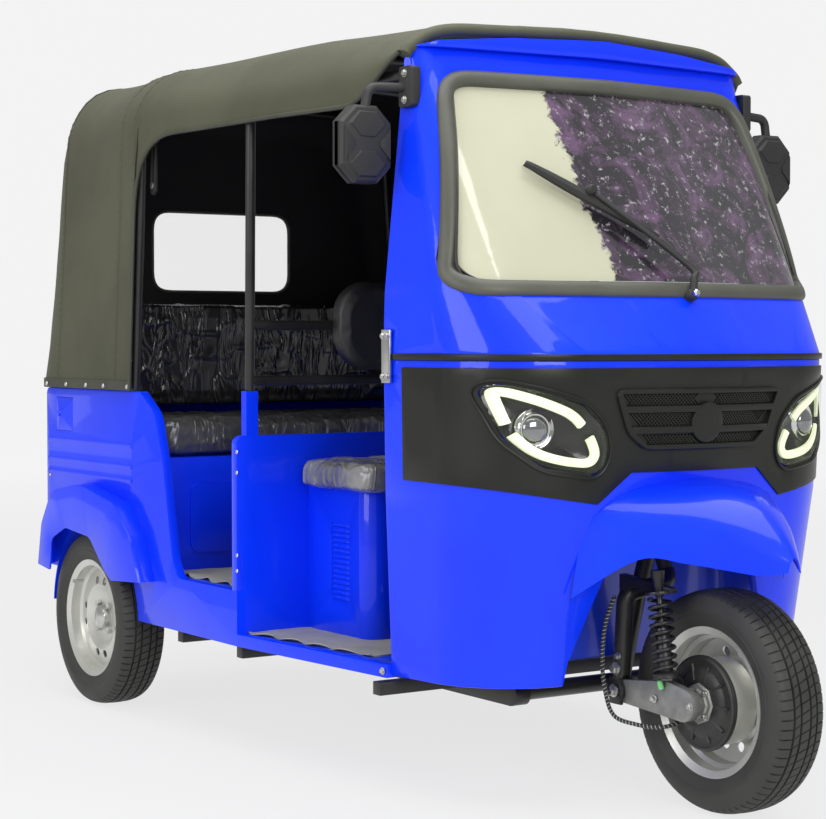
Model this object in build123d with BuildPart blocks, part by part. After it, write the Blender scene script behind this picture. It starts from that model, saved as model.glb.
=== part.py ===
from build123d import *
import os
from math import cos, hypot, radians, sin, tan

os.makedirs("parts", exist_ok=True)

# Sizes are in millimetres. +Z is up, the front faces -Y and the vehicle's right side is at -X.
# The origin is on the ground, at the middle of the whole length and width.

# Running gear
WHEELBASE = 2000
TYRE_R = 247
TYRE_WIDTH = 135
RIM_FLANGE_R = 166.5
RIM_WIDTH = 114
BEAD_R = 153
REAR_TRACK_HALF = 555.5
REAR_OVERHANG = 350
RUNNING_GAP = 0.3

# Body stations, measured back from the front axle or from the rear axle
PILLAR_BACK = 540
BULKHEAD_BACK = 1150
SEAT_FACE_AHEAD = 380
QUARTER_AHEAD = 525
REAR_FACE_BACK = 330

# Body levels and widths
SILL_BOTTOM_Z = 270
FLOOR_Z = 300
PASSENGER_FLOOR_Z = 410
BELT_Z = 996
BELT_HEIGHT = 14
QUARTER_TOP_Z = 900
BODY_HALF_WIDTH = 600
ROOF_Z = 1812
SHEET = 4
WALL = 25
CANOPY_THICKNESS = 8
TUBE_R = 12.5

FRONT_AXLE_Y = TYRE_R - (TYRE_R + WHEELBASE + REAR_OVERHANG) / 2
REAR_AXLE_Y = FRONT_AXLE_Y + WHEELBASE
PILLAR_Y = FRONT_AXLE_Y + PILLAR_BACK
BULKHEAD_Y = FRONT_AXLE_Y + BULKHEAD_BACK
SEAT_FACE_Y = REAR_AXLE_Y - SEAT_FACE_AHEAD
QUARTER_Y = REAR_AXLE_Y - QUARTER_AHEAD
REAR_FACE_Y = REAR_AXLE_Y + REAR_FACE_BACK


def front(distance):
    """Y of a point that lies this far behind the front axle."""
    return FRONT_AXLE_Y + distance


def rear(distance):
    """Y of a point that lies this far behind the rear axle."""
    return REAR_AXLE_Y + distance


def cross_plane(y):
    """Plane across the vehicle, X to the right and Z up, extruding forwards."""
    return Plane(origin=(0, y, 0), x_dir=(1, 0, 0), z_dir=(0, -1, 0))


def side_plane(x):
    """Plane along the vehicle, Y to the right and Z up, extruding towards +X."""
    return Plane(origin=(x, 0, 0), x_dir=(0, 1, 0), z_dir=(1, 0, 0))


def outline(points, radius=0.0):
    """Closed face through the points in the current sketch, its corners rounded."""
    with BuildLine() as edge:
        FilletPolyline(*points, radius=radius, close=True)
    make_face(edge.edges())


def mirrored(points):
    """Half an outline, right side first, followed by its other half."""
    return points + [(-x, y) for x, y in reversed(points) if abs(x) > 0.001]


def inset_path(points, inset):
    """Open outline moved to its left by inset; the two ends keep their height."""
    lines = []
    for (ax, ay), (bx, by) in zip(points, points[1:]):
        length = hypot(bx - ax, by - ay)
        dx, dy = (bx - ax) / length, (by - ay) / length
        lines.append((ax - dy * inset, ay + dx * inset, dx, dy))
    px, py, dx, dy = lines[0]
    moved = [(px + dx * (points[0][1] - py) / dy, points[0][1])]
    for (ax, ay, ux, uy), (bx, by, vx, vy) in zip(lines, lines[1:]):
        along = ((bx - ax) * vy - (by - ay) * vx) / (ux * vy - uy * vx)
        moved.append((ax + ux * along, ay + uy * along))
    px, py, dx, dy = lines[-1]
    moved.append((px + dx * (points[-1][1] - py) / dy, points[-1][1]))
    return moved


def finish(piece, label):
    """Names a finished piece and writes it."""
    piece.part.label = label
    export_step(piece.part, f"parts/{label}.step")


# Front cowl
# Level, half width at the pillar, half width and Y at the corner, Y at the nose, corner radius.
# Each Y is measured back from the front axle.
NOSE_R = 700
COWL_LOWER = [
    (275, 532, 488, 218, 185, 225),
    (690, 549, 510, 150, 98, 250),
    (BELT_Z, 554, 512, 142, 55, 265),
]
COWL_UPPER = [
    (BELT_Z + BELT_HEIGHT, 554, 512, 142, 55, 265),
    (1150, 550, 528, 262, 142, 165),
    (1645, 500, 476, 488, 432, 62),
    (1704, 497, 474, 505, 455, 60),
]


def cowl_points(row, inset, overrun):
    """Plan outline of the cowl at one level, moved inwards by inset."""
    level, side_x, corner_x, corner_back, nose_back, corner_r = row
    half = [(-side_x, PILLAR_Y), (-corner_x, front(corner_back)), (0, front(nose_back))]
    points = inset_path(half + [(-x, y) for x, y in reversed(half[:2])], inset)
    (end_x, end_y), (next_x, next_y) = points[:2]
    end_x += (end_x - next_x) * overrun / (end_y - next_y)
    points[0] = (end_x, end_y + overrun)
    points[-1] = (-end_x, end_y + overrun)
    return points


def cowl_loft(table, inset=0.0, overrun=0.0, mode=Mode.ADD):
    """Solid inside the cowl's plan outlines."""
    levels = []
    for row in table:
        radius = row[5] - inset
        with BuildSketch(Plane.XY.offset(row[0])) as level:
            outline(cowl_points(row, inset, overrun), (0, radius, NOSE_R, radius, 0))
        levels.append(level.sketch)
    loft(levels, ruled=True, mode=mode)


def grown(table, below=0, above=0):
    """Sections that run on straight below the first and above the last."""
    lowest = [(table[0][0] - below,) + table[0][1:]] if below else []
    highest = [(table[-1][0] + above,) + table[-1][1:]] if above else []
    return lowest + table + highest


# Openings in the cowl, seen from the front: half width, level, corner radius
WHEEL_MOUTH = [(305, 200), (292, 326), (242, 466), (212, 540), (150, 600)]
SCREEN_OUTER = [(540, 1140), (440, 1652)]
SCREEN_INNER = [(508, 1172), (408, 1624)]
SEAL_CORNER_R = 70
GLASS_CORNER_R = 42
SEAL_PROUD = 8
SEAL_DEEP = 14
GLASS_THICKNESS = 5
GLASS_SET_BACK = 6
BELT_PROUD = 6
PILLAR_FLANGE = 40
HINGE_X = COWL_LOWER[-1][1] + RUNNING_GAP
HINGE_Y = PILLAR_Y - PILLAR_FLANGE / 2 + 2
HINGE_Z = BELT_Z + 8
HINGE_PLATE = (34, 120, 6)
HINGE_BOLTS = (18, 92)
HINGE_BOLT_R = 4.25
HINGE_HOLE_DEPTH = 60
LAMP_OUTLINE = [(509, 937), (480, 948), (398, 927), (316, 902), (262, 850), (249, 787), (276, 746), (400, 765), (469, 826)]
LAMP_CORNER_R = 18
LAMP_SIDE_BACK = 330
MASK_LOWER = [(700, 752), (477, 716), (268, 682), (185, 750)]
MASK_TOP_Z = 980
MASK_SIDE_BACK = 470
MASK_THICKNESS = 5
GRILLE_OUTLINE = [(240, 932), (205, 838), (160, 802)]


def front_prism(points, radius, mode):
    """Cuts or keeps what lies behind a front view outline, through the whole cowl."""
    with BuildSketch(cross_plane(PILLAR_Y + 1)) as view:
        outline(points, radius)
    extrude(view.sketch, amount=PILLAR_BACK + TYRE_R, mode=mode)


def lamp_points(side):
    return [(side * x, z) for x, z in LAMP_OUTLINE]


with BuildPart() as cowl_lower:
    cowl_loft(COWL_LOWER)
    cowl_loft(grown(COWL_LOWER, 1, 1), WALL, 50, Mode.SUBTRACT)
    front_prism(mirrored(WHEEL_MOUTH), 0, Mode.SUBTRACT)
    for side in (-1, 1):
        front_prism(lamp_points(side), LAMP_CORNER_R, Mode.SUBTRACT)
        with BuildSketch(side_plane(side * (HINGE_X - HINGE_HOLE_DEPTH))):
            with Locations((HINGE_Y, HINGE_Z)):
                with GridLocations(HINGE_BOLTS[0], HINGE_BOLTS[1], 2, 2):
                    Circle(HINGE_BOLT_R)
        extrude(amount=side * HINGE_HOLE_DEPTH, mode=Mode.SUBTRACT)
finish(cowl_lower, "cowl_lower")

with BuildPart() as cowl_upper:
    cowl_loft(COWL_UPPER)
    cowl_loft(grown(COWL_UPPER, 1, 1), WALL, 50, Mode.SUBTRACT)
    front_prism([(-x, z) for x, z in SCREEN_OUTER] + list(reversed(SCREEN_OUTER)), SEAL_CORNER_R, Mode.SUBTRACT)
    for side in (-1, 1):
        with BuildSketch(side_plane(side * (HINGE_X - HINGE_HOLE_DEPTH))):
            with Locations((HINGE_Y, HINGE_Z)):
                with GridLocations(HINGE_BOLTS[0], HINGE_BOLTS[1], 2, 2):
                    Circle(HINGE_BOLT_R)
        extrude(amount=side * HINGE_HOLE_DEPTH, mode=Mode.SUBTRACT)
finish(cowl_upper, "cowl_upper")

# Header over the windshield: a thin lip that rises to the middle and stands out in front
HEADER_PROUD = 22
HEADER_EDGE = [(440, 1719), (250, 1736), (0, 1745)]
HEADER_END_X = 496
header_base = COWL_UPPER[-1]
header_row = header_base[:3] + (header_base[3] - HEADER_PROUD, header_base[4] - HEADER_PROUD) + header_base[5:]
with BuildPart() as header:
    cowl_loft(grown([header_row], above=60))
    cowl_loft(grown([header_base], 1, 61), WALL, 50, Mode.SUBTRACT)
    header_low = header_base[0] + RUNNING_GAP
    front_prism(mirrored([(HEADER_END_X, header_low)] + HEADER_EDGE), 0, Mode.INTERSECT)
finish(header, "header")

screen_outer = [(-x, z) for x, z in SCREEN_OUTER] + list(reversed(SCREEN_OUTER))
screen_inner = [(-x, z) for x, z in SCREEN_INNER] + list(reversed(SCREEN_INNER))

with BuildPart() as windshield_seal:
    cowl_loft(COWL_UPPER, -SEAL_PROUD)
    cowl_loft(COWL_UPPER, SEAL_DEEP, 60, Mode.SUBTRACT)
    with BuildSketch(cross_plane(PILLAR_Y - 20)):
        outline(screen_outer, SEAL_CORNER_R)
        with BuildSketch(mode=Mode.SUBTRACT):
            outline(screen_inner, GLASS_CORNER_R)
    extrude(amount=PILLAR_BACK + TYRE_R, mode=Mode.INTERSECT)
finish(windshield_seal, "windshield_seal")

with BuildPart() as windshield_glass:
    cowl_loft(COWL_UPPER, GLASS_SET_BACK)
    cowl_loft(COWL_UPPER, GLASS_SET_BACK + GLASS_THICKNESS, 60, Mode.SUBTRACT)
    with BuildSketch(cross_plane(PILLAR_Y - 20)):
        outline(screen_inner, GLASS_CORNER_R)
    extrude(amount=PILLAR_BACK + TYRE_R, mode=Mode.INTERSECT)
finish(windshield_glass, "windshield_glass")

belt_rows = grown([COWL_LOWER[-1]], above=BELT_HEIGHT)
with BuildPart() as belt_strip:
    cowl_loft(belt_rows, -BELT_PROUD)
    cowl_loft(grown(belt_rows, 1, 1), WALL, 50, Mode.SUBTRACT)
    with BuildSketch(Plane.XY.offset(BELT_Z - 1)):
        with Locations((0, PILLAR_Y)):
            Rectangle(3 * BODY_HALF_WIDTH, 2 * PILLAR_FLANGE)
    extrude(amount=BELT_HEIGHT + 2, mode=Mode.SUBTRACT)
finish(belt_strip, "belt_strip")

with BuildPart() as lamp_mask:
    cowl_loft(COWL_LOWER, -MASK_THICKNESS)
    cowl_loft(grown(COWL_LOWER, 0, 1), -RUNNING_GAP, 50, Mode.SUBTRACT)
    with BuildSketch(cross_plane(front(MASK_SIDE_BACK))):
        outline(mirrored([(700, MASK_TOP_Z)] + MASK_LOWER), 0)
    extrude(amount=MASK_SIDE_BACK + TYRE_R, mode=Mode.INTERSECT)
    for side in (-1, 1):
        front_prism(lamp_points(side), LAMP_CORNER_R, Mode.SUBTRACT)
finish(lamp_mask, "lamp_mask")

for side, name in ((-1, "right"), (1, "left")):
    with BuildPart() as headlamp:
        cowl_loft(COWL_LOWER, -MASK_THICKNESS)
        cowl_loft(COWL_LOWER, WALL + 40, 120, Mode.SUBTRACT)
        with BuildSketch(cross_plane(front(LAMP_SIDE_BACK))):
            outline([(side * x, z) for x, z in LAMP_OUTLINE], LAMP_CORNER_R)
            offset(amount=-1, mode=Mode.REPLACE)
        extrude(amount=MASK_SIDE_BACK + TYRE_R, mode=Mode.INTERSECT)
    finish(headlamp, f"headlamp_{name}")

# Grille: a framed panel of curved bars, with a round blank boss at its middle
GRILLE_BARS = [(889, 218), (843, 199)]
BAR_HEIGHT = 15
BOSS_R = 45
BOSS_Z = 858
GRILLE_PROUD = 16
with BuildPart() as grille:
    cowl_loft(COWL_LOWER, -GRILLE_PROUD)
    cowl_loft(grown(COWL_LOWER, 0, 1), -MASK_THICKNESS, 50, Mode.SUBTRACT)
    with BuildSketch(cross_plane(front(300))) as face:
        outline(mirrored(GRILLE_OUTLINE), 10)
        with BuildSketch(mode=Mode.SUBTRACT):
            outline(mirrored(GRILLE_OUTLINE), 10)
            offset(amount=-9, mode=Mode.REPLACE)
        for level, half_width in GRILLE_BARS:
            with Locations((0, level)):
                Rectangle(2 * half_width, BAR_HEIGHT)
        with Locations((0, BOSS_Z)):
            Circle(BOSS_R)
    extrude(amount=PILLAR_BACK + TYRE_R, mode=Mode.INTERSECT)
finish(grille, "grille")

# Front fender: distance behind the axle, half width and level of its hem, of its crease and of
# its shoulder, level of its crest, radii of shoulder and crest
FENDER = [
    (150, 318, 478, 285, 662, 228, 716, 742, 110, 360),
    (40, 222, 566, 215, 622, 165, 698, 732, 110, 250),
    (-40, 155, 561, 150, 594, 122, 678, 718, 100, 150),
    (-110, 103, 550, 100, 572, 82, 644, 688, 80, 80),
    (-170, 57, 541, 54, 553, 42, 600, 638, 50, 28),
    (-209, 18, 548, 16, 556, 12, 574, 586, 8, 5),
]


# how far the hollow runs past the hem, so that the fender stays open below along its slanting hem
FENDER_HEM_CLEAR = 8


def fender_loft(inset, stretch, mode=Mode.ADD):
    """Beak of the front fender, moved inwards by inset."""
    slant = inset * cos(radians(45))
    stations = []
    for back, hem_x, hem_z, crease_x, crease_z, shoulder_x, shoulder_z, crest_z, shoulder_r, crest_r in FENDER:
        hem, crease = (hem_x - inset, hem_z - stretch), (crease_x - inset, crease_z)
        shoulder, crest = (shoulder_x - slant, shoulder_z - slant), (0, crest_z - inset)
        with BuildSketch(cross_plane(front(back) + inset)) as station:
            outline(mirrored([hem, crease, shoulder, crest]),
                    (0, 0, shoulder_r, crest_r, shoulder_r, 0, 0))
        stations.append(station.sketch)
    loft(stations, ruled=True, mode=mode)


with BuildPart() as front_fender:
    fender_loft(0, 0)
    fender_loft(SHEET, FENDER_HEM_CLEAR, Mode.SUBTRACT)
    cowl_loft(grown(COWL_LOWER, 100, 1), 0, 50, Mode.SUBTRACT)
finish(front_fender, "front_fender")

# Steering axis, raked back from a point above and behind the front tyre
RAKE = 25
STEER_BACK = 210
STEER_Z = 520
STEM_R = 17
STEM_LENGTH = 500
HEAD_TUBE_R = 30
HEAD_TUBE_START = 50
HEAD_TUBE_LENGTH = 200
STEER_RANGE = 35
STEER_AXIS = (0, sin(radians(RAKE)), cos(radians(RAKE)))


def steer_point(distance):
    """Point on the steering axis, this far above its lower end."""
    return (0, front(STEER_BACK) + distance * STEER_AXIS[1], STEER_Z + distance * STEER_AXIS[2])


def tube(points, radius, tube_r):
    """Round bar along straight runs joined by arcs."""
    with BuildLine() as path:
        FilletPolyline(*points, radius=radius)
    line = path.line
    with BuildSketch(Plane(origin=line @ 0, z_dir=line % 0)) as section:
        Circle(tube_r)
    sweep(section.sketch, path=line)


def rod(start, end, radius):
    """Straight round bar."""
    run = Vector(*end) - Vector(*start)
    with BuildSketch(Plane(origin=start, z_dir=run)) as section:
        Circle(radius)
    extrude(section.sketch, amount=run.length)


# Wheel housing: a tub open below and in front, behind and above the front wheel
HOUSING_HALF_WIDTH = 288
HOUSING_BACK = 385
HOUSING_TOP_Z = 640
HOUSING_CORNER_R = 90
STEER_HOLE_R = HEAD_TUBE_R + 4


def housing_plan(inset, run_on):
    """U-shaped plan of the tub, open towards the front."""
    side_x = HOUSING_HALF_WIDTH - inset
    back_y = front(HOUSING_BACK) - inset
    front_y = front(60) - run_on
    return [(-side_x, front_y), (side_x, front_y), (side_x, back_y), (-side_x, back_y)]


with BuildPart() as wheel_housing:
    with BuildSketch(Plane.XY.offset(FLOOR_Z)):
        outline(housing_plan(0, 0), (0, 0, HOUSING_CORNER_R, HOUSING_CORNER_R))
    extrude(amount=HOUSING_TOP_Z - FLOOR_Z)
    with BuildSketch(Plane.XY.offset(FLOOR_Z - 1)):
        outline(housing_plan(SHEET, 1), (0, 0, HOUSING_CORNER_R - SHEET, HOUSING_CORNER_R - SHEET))
    extrude(amount=HOUSING_TOP_Z - FLOOR_Z - SHEET + 1, mode=Mode.SUBTRACT)
    cowl_loft(COWL_LOWER, WALL, 60, Mode.INTERSECT)
    with BuildSketch(Plane(origin=steer_point(0), z_dir=STEER_AXIS)):
        Circle(STEER_HOLE_R)
    extrude(amount=300, mode=Mode.SUBTRACT)
finish(wheel_housing, "wheel_housing")

# Chassis: two rails that kick up over the rear axle, cross tubes, head tube and down tube
RAIL_X = 320
RAIL_WIDTH = 40
RAIL_HEIGHT = 50
RAIL_LOW_Z = 240
RAIL_HIGH_Z = 400
RAIL_FRONT_BACK = 345
RAIL_KICK = (430, 230)
CROSS_R = 20
DOWN_TUBE_R = 20
CROSS_TUBES = [(front(RAIL_FRONT_BACK + 20), RAIL_LOW_Z), (front(900), RAIL_LOW_Z), (BULKHEAD_Y - 12, RAIL_LOW_Z), (rear(-500), RAIL_LOW_Z), (rear(270), RAIL_HIGH_Z)]
rail_line = [
    (front(RAIL_FRONT_BACK), RAIL_LOW_Z),
    (rear(-RAIL_KICK[0]), RAIL_LOW_Z),
    (rear(-RAIL_KICK[1]), RAIL_HIGH_Z),
    (REAR_FACE_Y - 20 - RUNNING_GAP - RAIL_HEIGHT / 2, RAIL_HIGH_Z),
]
HANGER_X = RAIL_X + 75
# distance behind the rear axle, level of the foot, of the arm's top and of the spring's seat
HANGERS = [(-352, 290, 375, 345), (292, 385, 415, 337)]
with BuildPart() as chassis:
    for side in (-1, 1):
        with BuildSketch(side_plane(side * RAIL_X - RAIL_WIDTH / 2)):
            with BuildLine():
                rail = FilletPolyline(*rail_line, radius=60)
                offset(amount=RAIL_HEIGHT / 2, side=Side.BOTH)
            make_face()
        extrude(amount=RAIL_WIDTH)
    for cross_y, cross_z in CROSS_TUBES:
        with BuildSketch(side_plane(-RAIL_X)):
            with Locations((cross_y, cross_z)):
                Circle(CROSS_R)
        extrude(amount=2 * RAIL_X)
    for outrigger_y in (front(560), BULKHEAD_Y + 60, rear(-460)):
        with BuildSketch(side_plane(-BODY_HALF_WIDTH + 40)):
            with Locations((outrigger_y, RAIL_LOW_Z + 5)):
                Rectangle(30, 30)
        extrude(amount=2 * (BODY_HALF_WIDTH - 40))
    for side in (-1, 1):
        for hanger_back, foot_z, arm_z, eye_z in HANGERS:
            inner_x = RAIL_X + RAIL_WIDTH / 2 - 5
            with BuildSketch(cross_plane(rear(hanger_back + 18))):
                with BuildLine():
                    Polyline(
                        (side * inner_x, foot_z), (side * (HANGER_X - 25), foot_z), (side * (HANGER_X - 25), eye_z),
                        (side * (HANGER_X + 25), eye_z), (side * (HANGER_X + 25), arm_z), (side * inner_x, arm_z), close=True,
                    )
                make_face()
            extrude(amount=36)
    with BuildSketch(Plane(origin=steer_point(HEAD_TUBE_START), z_dir=STEER_AXIS)):
        Circle(HEAD_TUBE_R)
    extrude(amount=HEAD_TUBE_LENGTH)
    tube([steer_point(95), (0, front(310), 440), (0, front(RAIL_FRONT_BACK + 20), RAIL_LOW_Z)], 90, DOWN_TUBE_R)
    with BuildSketch(Plane(origin=steer_point(HEAD_TUBE_START - 1), z_dir=STEER_AXIS)):
        Circle(STEM_R + RUNNING_GAP)
    extrude(amount=HEAD_TUBE_LENGTH + 2, mode=Mode.SUBTRACT)
finish(chassis, "chassis")

# Floors
PLATE = 4
FLOOR_FRONT_BACK = HOUSING_BACK + 2
ENGINE_HALF_WIDTH = 170
ENGINE_Y = BULKHEAD_Y - 140
ENGINE_LENGTH = 260
ENGINE_BOTTOM_Z = RAIL_LOW_Z + CROSS_R + RUNNING_GAP
ENGINE_HEIGHT = 350
with BuildPart() as floor:
    with BuildSketch(Plane.XY.offset(FLOOR_Z - PLATE)):
        outline([(-480, front(FLOOR_FRONT_BACK)), (480, front(FLOOR_FRONT_BACK)), (503, PILLAR_Y), (570, BULKHEAD_Y), (-570, BULKHEAD_Y), (-503, PILLAR_Y)])
        with Locations((0, ENGINE_Y)):
            Rectangle(2 * ENGINE_HALF_WIDTH + 20, ENGINE_LENGTH + 20, mode=Mode.SUBTRACT)
    extrude(amount=PLATE)
    with BuildSketch(Plane.XY.offset(PASSENGER_FLOOR_Z - PLATE)):
        outline([(-570, BULKHEAD_Y + WALL), (570, BULKHEAD_Y + WALL), (570, SEAT_FACE_Y), (-570, SEAT_FACE_Y)])
    extrude(amount=PLATE)
    for rib_x in (-420, -140, 140, 420):
        with BuildSketch(Plane.XY.offset(PASSENGER_FLOOR_Z - PLATE - 16)):
            with Locations((rib_x, (BULKHEAD_Y + WALL + SEAT_FACE_Y) / 2)):
                Rectangle(40, SEAT_FACE_Y - BULKHEAD_Y - WALL)
        extrude(amount=16)
finish(floor, "floor")

with BuildPart() as engine:
    with BuildSketch(Plane.XY.offset(ENGINE_BOTTOM_Z)):
        with Locations((0, ENGINE_Y)):
            RectangleRounded(2 * ENGINE_HALF_WIDTH, ENGINE_LENGTH, 30)
    extrude(amount=ENGINE_HEIGHT)
finish(engine, "engine_block")

# Side panels: sill, quarter and inner wheel arch in one pressing
PANEL_OUTLINE = [
    (BULKHEAD_Y, SILL_BOTTOM_Z),
    (rear(-240), SILL_BOTTOM_Z),
    (rear(-240), 372),
    (REAR_FACE_Y, 372),
    (REAR_FACE_Y, QUARTER_TOP_Z),
    (rear(-300), QUARTER_TOP_Z),
    (rear(-390), 842),
    (rear(-434), 720),
    (rear(-491), 456),
    (rear(-525), PASSENGER_FLOOR_Z),
    (BULKHEAD_Y, PASSENGER_FLOOR_Z),
]
PANEL_RADII = (0, 0, 0, 10, 20, 30, 70, 60, 60, 30, 0)
WELL_R = 285
WELL_WIDTH = 125
RIB_LEVELS = (748, 690, 652)
RIB_LENGTH = 570
RIB_WIDTH = 12
RIB_PROUD = 3
FLAP_LOW = (143, 776)
FLAP_SIZE = (113, 96)
FLAP_THICKNESS = 3
FLAP_GAP = 1.5
DRIVER_SILL_Z = FLOOR_Z
SILL_FRONT_X = 545
flap_y = rear(FLAP_LOW[0]) + FLAP_SIZE[0] / 2
flap_z = FLAP_LOW[1] + FLAP_SIZE[1] / 2


def side_panel(side):
    """One side of the body, from the cowl's foot to the tail."""
    outer_x = side * BODY_HALF_WIDTH
    with BuildSketch(side_plane(outer_x)) as face:
        outline(PANEL_OUTLINE, PANEL_RADII)
        with Locations((REAR_AXLE_Y, TYRE_R)):
            Circle(WELL_R, mode=Mode.SUBTRACT)
    extrude(face.sketch, amount=-side * WALL)
    with BuildSketch(side_plane(outer_x)) as well:
        with Locations((REAR_AXLE_Y, TYRE_R)):
            Circle(WELL_R + SHEET)
            Circle(WELL_R, mode=Mode.SUBTRACT)
        with Locations((REAR_AXLE_Y, SILL_BOTTOM_Z - WELL_R)):
            Rectangle(3 * WELL_R, 2 * WELL_R, mode=Mode.SUBTRACT)
    extrude(well.sketch, amount=-side * WELL_WIDTH)
    with BuildSketch(Plane.XY.offset(SILL_BOTTOM_Z)) as sill:
        with BuildLine() as edge:
            Polyline(
                (side * SILL_FRONT_X, PILLAR_Y + RUNNING_GAP),
                (side * BODY_HALF_WIDTH, BULKHEAD_Y),
                (side * (BODY_HALF_WIDTH - WALL), BULKHEAD_Y),
                (side * (SILL_FRONT_X - WALL), PILLAR_Y + RUNNING_GAP),
                close=True,
            )
        make_face(edge.edges())
    extrude(sill.sketch, amount=DRIVER_SILL_Z - SILL_BOTTOM_Z)
    with BuildSketch(side_plane(outer_x)) as ribs:
        for level in RIB_LEVELS:
            with Locations((REAR_FACE_Y - RIB_LENGTH / 2 - 10, level)):
                SlotOverall(RIB_LENGTH, RIB_WIDTH)
    extrude(ribs.sketch, amount=side * RIB_PROUD)


with BuildPart() as side_panel_right:
    side_panel(-1)
    with BuildSketch(side_plane(-BODY_HALF_WIDTH)):
        with Locations((flap_y, flap_z)):
            Rectangle(FLAP_SIZE[0] + 2 * RUNNING_GAP, FLAP_SIZE[1] + 2 * FLAP_GAP)
    extrude(amount=FLAP_THICKNESS + FLAP_GAP, mode=Mode.SUBTRACT)
finish(side_panel_right, "side_panel_right")

with BuildPart() as side_panel_left:
    side_panel(1)
finish(side_panel_left, "side_panel_left")

with BuildPart() as access_flap:
    with BuildSketch(side_plane(-BODY_HALF_WIDTH)):
        with Locations((flap_y, flap_z)):
            RectangleRounded(FLAP_SIZE[0], FLAP_SIZE[1], 4)
    extrude(amount=FLAP_THICKNESS)
    with BuildSketch(side_plane(-BODY_HALF_WIDTH)):
        with Locations((flap_y + FLAP_SIZE[0] / 2 - 16, flap_z)):
            Circle(8)
    extrude(amount=-4)
finish(access_flap, "access_flap")

# Bulkhead behind the driver and the driver's louvred seat box
BULKHEAD_TOP_Z = 800
TUNNEL_HALF_WIDTH = 150
TUNNEL_HEIGHT = 80
POST_X = 555
POST_Y = BULKHEAD_Y + WALL / 2
POST_FOOT_Z = 912
with BuildPart() as bulkhead:
    with BuildSketch(cross_plane(BULKHEAD_Y + WALL)):
        outline(mirrored([(BODY_HALF_WIDTH - WALL, FLOOR_Z), (BODY_HALF_WIDTH - WALL, PASSENGER_FLOOR_Z), (BODY_HALF_WIDTH, PASSENGER_FLOOR_Z), (BODY_HALF_WIDTH, BULKHEAD_TOP_Z)]), (0, 0, 0, 20, 20, 0, 0, 0))
        with Locations((0, FLOOR_Z)):
            RectangleRounded(2 * TUNNEL_HALF_WIDTH, 2 * TUNNEL_HEIGHT, 20, mode=Mode.SUBTRACT)
    extrude(amount=WALL)
    for side in (-1, 1):
        with BuildSketch(Plane.XY.offset(BULKHEAD_TOP_Z - 30)):
            with Locations((side * POST_X, POST_Y)):
                Rectangle(34, WALL)
        extrude(amount=POST_FOOT_Z - BULKHEAD_TOP_Z + 30)
finish(bulkhead, "bulkhead")

SEAT_BOX_HALF_WIDTH = 390
SEAT_BOX_LENGTH = 290
SEAT_BOX_TOP_Z = 668
LOUVRE_COUNT = 15
LOUVRE_LENGTH = 80
LOUVRE_PITCH = 13
LOUVRE_TOP_Z = 575
LOUVRE_SLOT = 5
with BuildPart() as seat_box:
    with BuildSketch(Plane.XY.offset(FLOOR_Z)):
        outline([(-SEAT_BOX_HALF_WIDTH, BULKHEAD_Y), (-SEAT_BOX_HALF_WIDTH, BULKHEAD_Y - SEAT_BOX_LENGTH), (SEAT_BOX_HALF_WIDTH, BULKHEAD_Y - SEAT_BOX_LENGTH), (SEAT_BOX_HALF_WIDTH, BULKHEAD_Y)], (0, 50, 50, 0))
    extrude(amount=SEAT_BOX_TOP_Z - FLOOR_Z)
    with BuildSketch(Plane.XY.offset(FLOOR_Z)):
        outline([(-SEAT_BOX_HALF_WIDTH + SHEET, BULKHEAD_Y + 1), (-SEAT_BOX_HALF_WIDTH + SHEET, BULKHEAD_Y - SEAT_BOX_LENGTH + SHEET), (SEAT_BOX_HALF_WIDTH - SHEET, BULKHEAD_Y - SEAT_BOX_LENGTH + SHEET), (SEAT_BOX_HALF_WIDTH - SHEET, BULKHEAD_Y + 1)], (0, 46, 46, 0))
    extrude(amount=SEAT_BOX_TOP_Z - FLOOR_Z - SHEET, mode=Mode.SUBTRACT)
    with BuildSketch(side_plane(-SEAT_BOX_HALF_WIDTH - 1)):
        for number in range(LOUVRE_COUNT):
            with Locations((BULKHEAD_Y - 155, LOUVRE_TOP_Z - number * LOUVRE_PITCH)):
                SlotOverall(LOUVRE_LENGTH, LOUVRE_SLOT)
    extrude(amount=2 * SEAT_BOX_HALF_WIDTH + 2, mode=Mode.SUBTRACT)
finish(seat_box, "seat_box")

with BuildPart() as driver_cushion:
    with BuildSketch(Plane.XY.offset(SEAT_BOX_TOP_Z + RUNNING_GAP)):
        with Locations((0, BULKHEAD_Y - 180)):
            RectangleRounded(910, 350, 50)
    extrude(amount=72)
    fillet(driver_cushion.faces().sort_by(Axis.Z)[-1].edges(), 22)
finish(driver_cushion, "driver_cushion")

with BuildPart() as driver_backrest:
    with BuildSketch(cross_plane(BULKHEAD_Y - RUNNING_GAP)):
        with Locations((0, 1078)):
            RectangleRounded(694, 260, 110)
    extrude(amount=66)
    fillet(driver_backrest.faces().sort_by(Axis.Y)[0].edges(), 24)
finish(driver_backrest, "driver_backrest")

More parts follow.
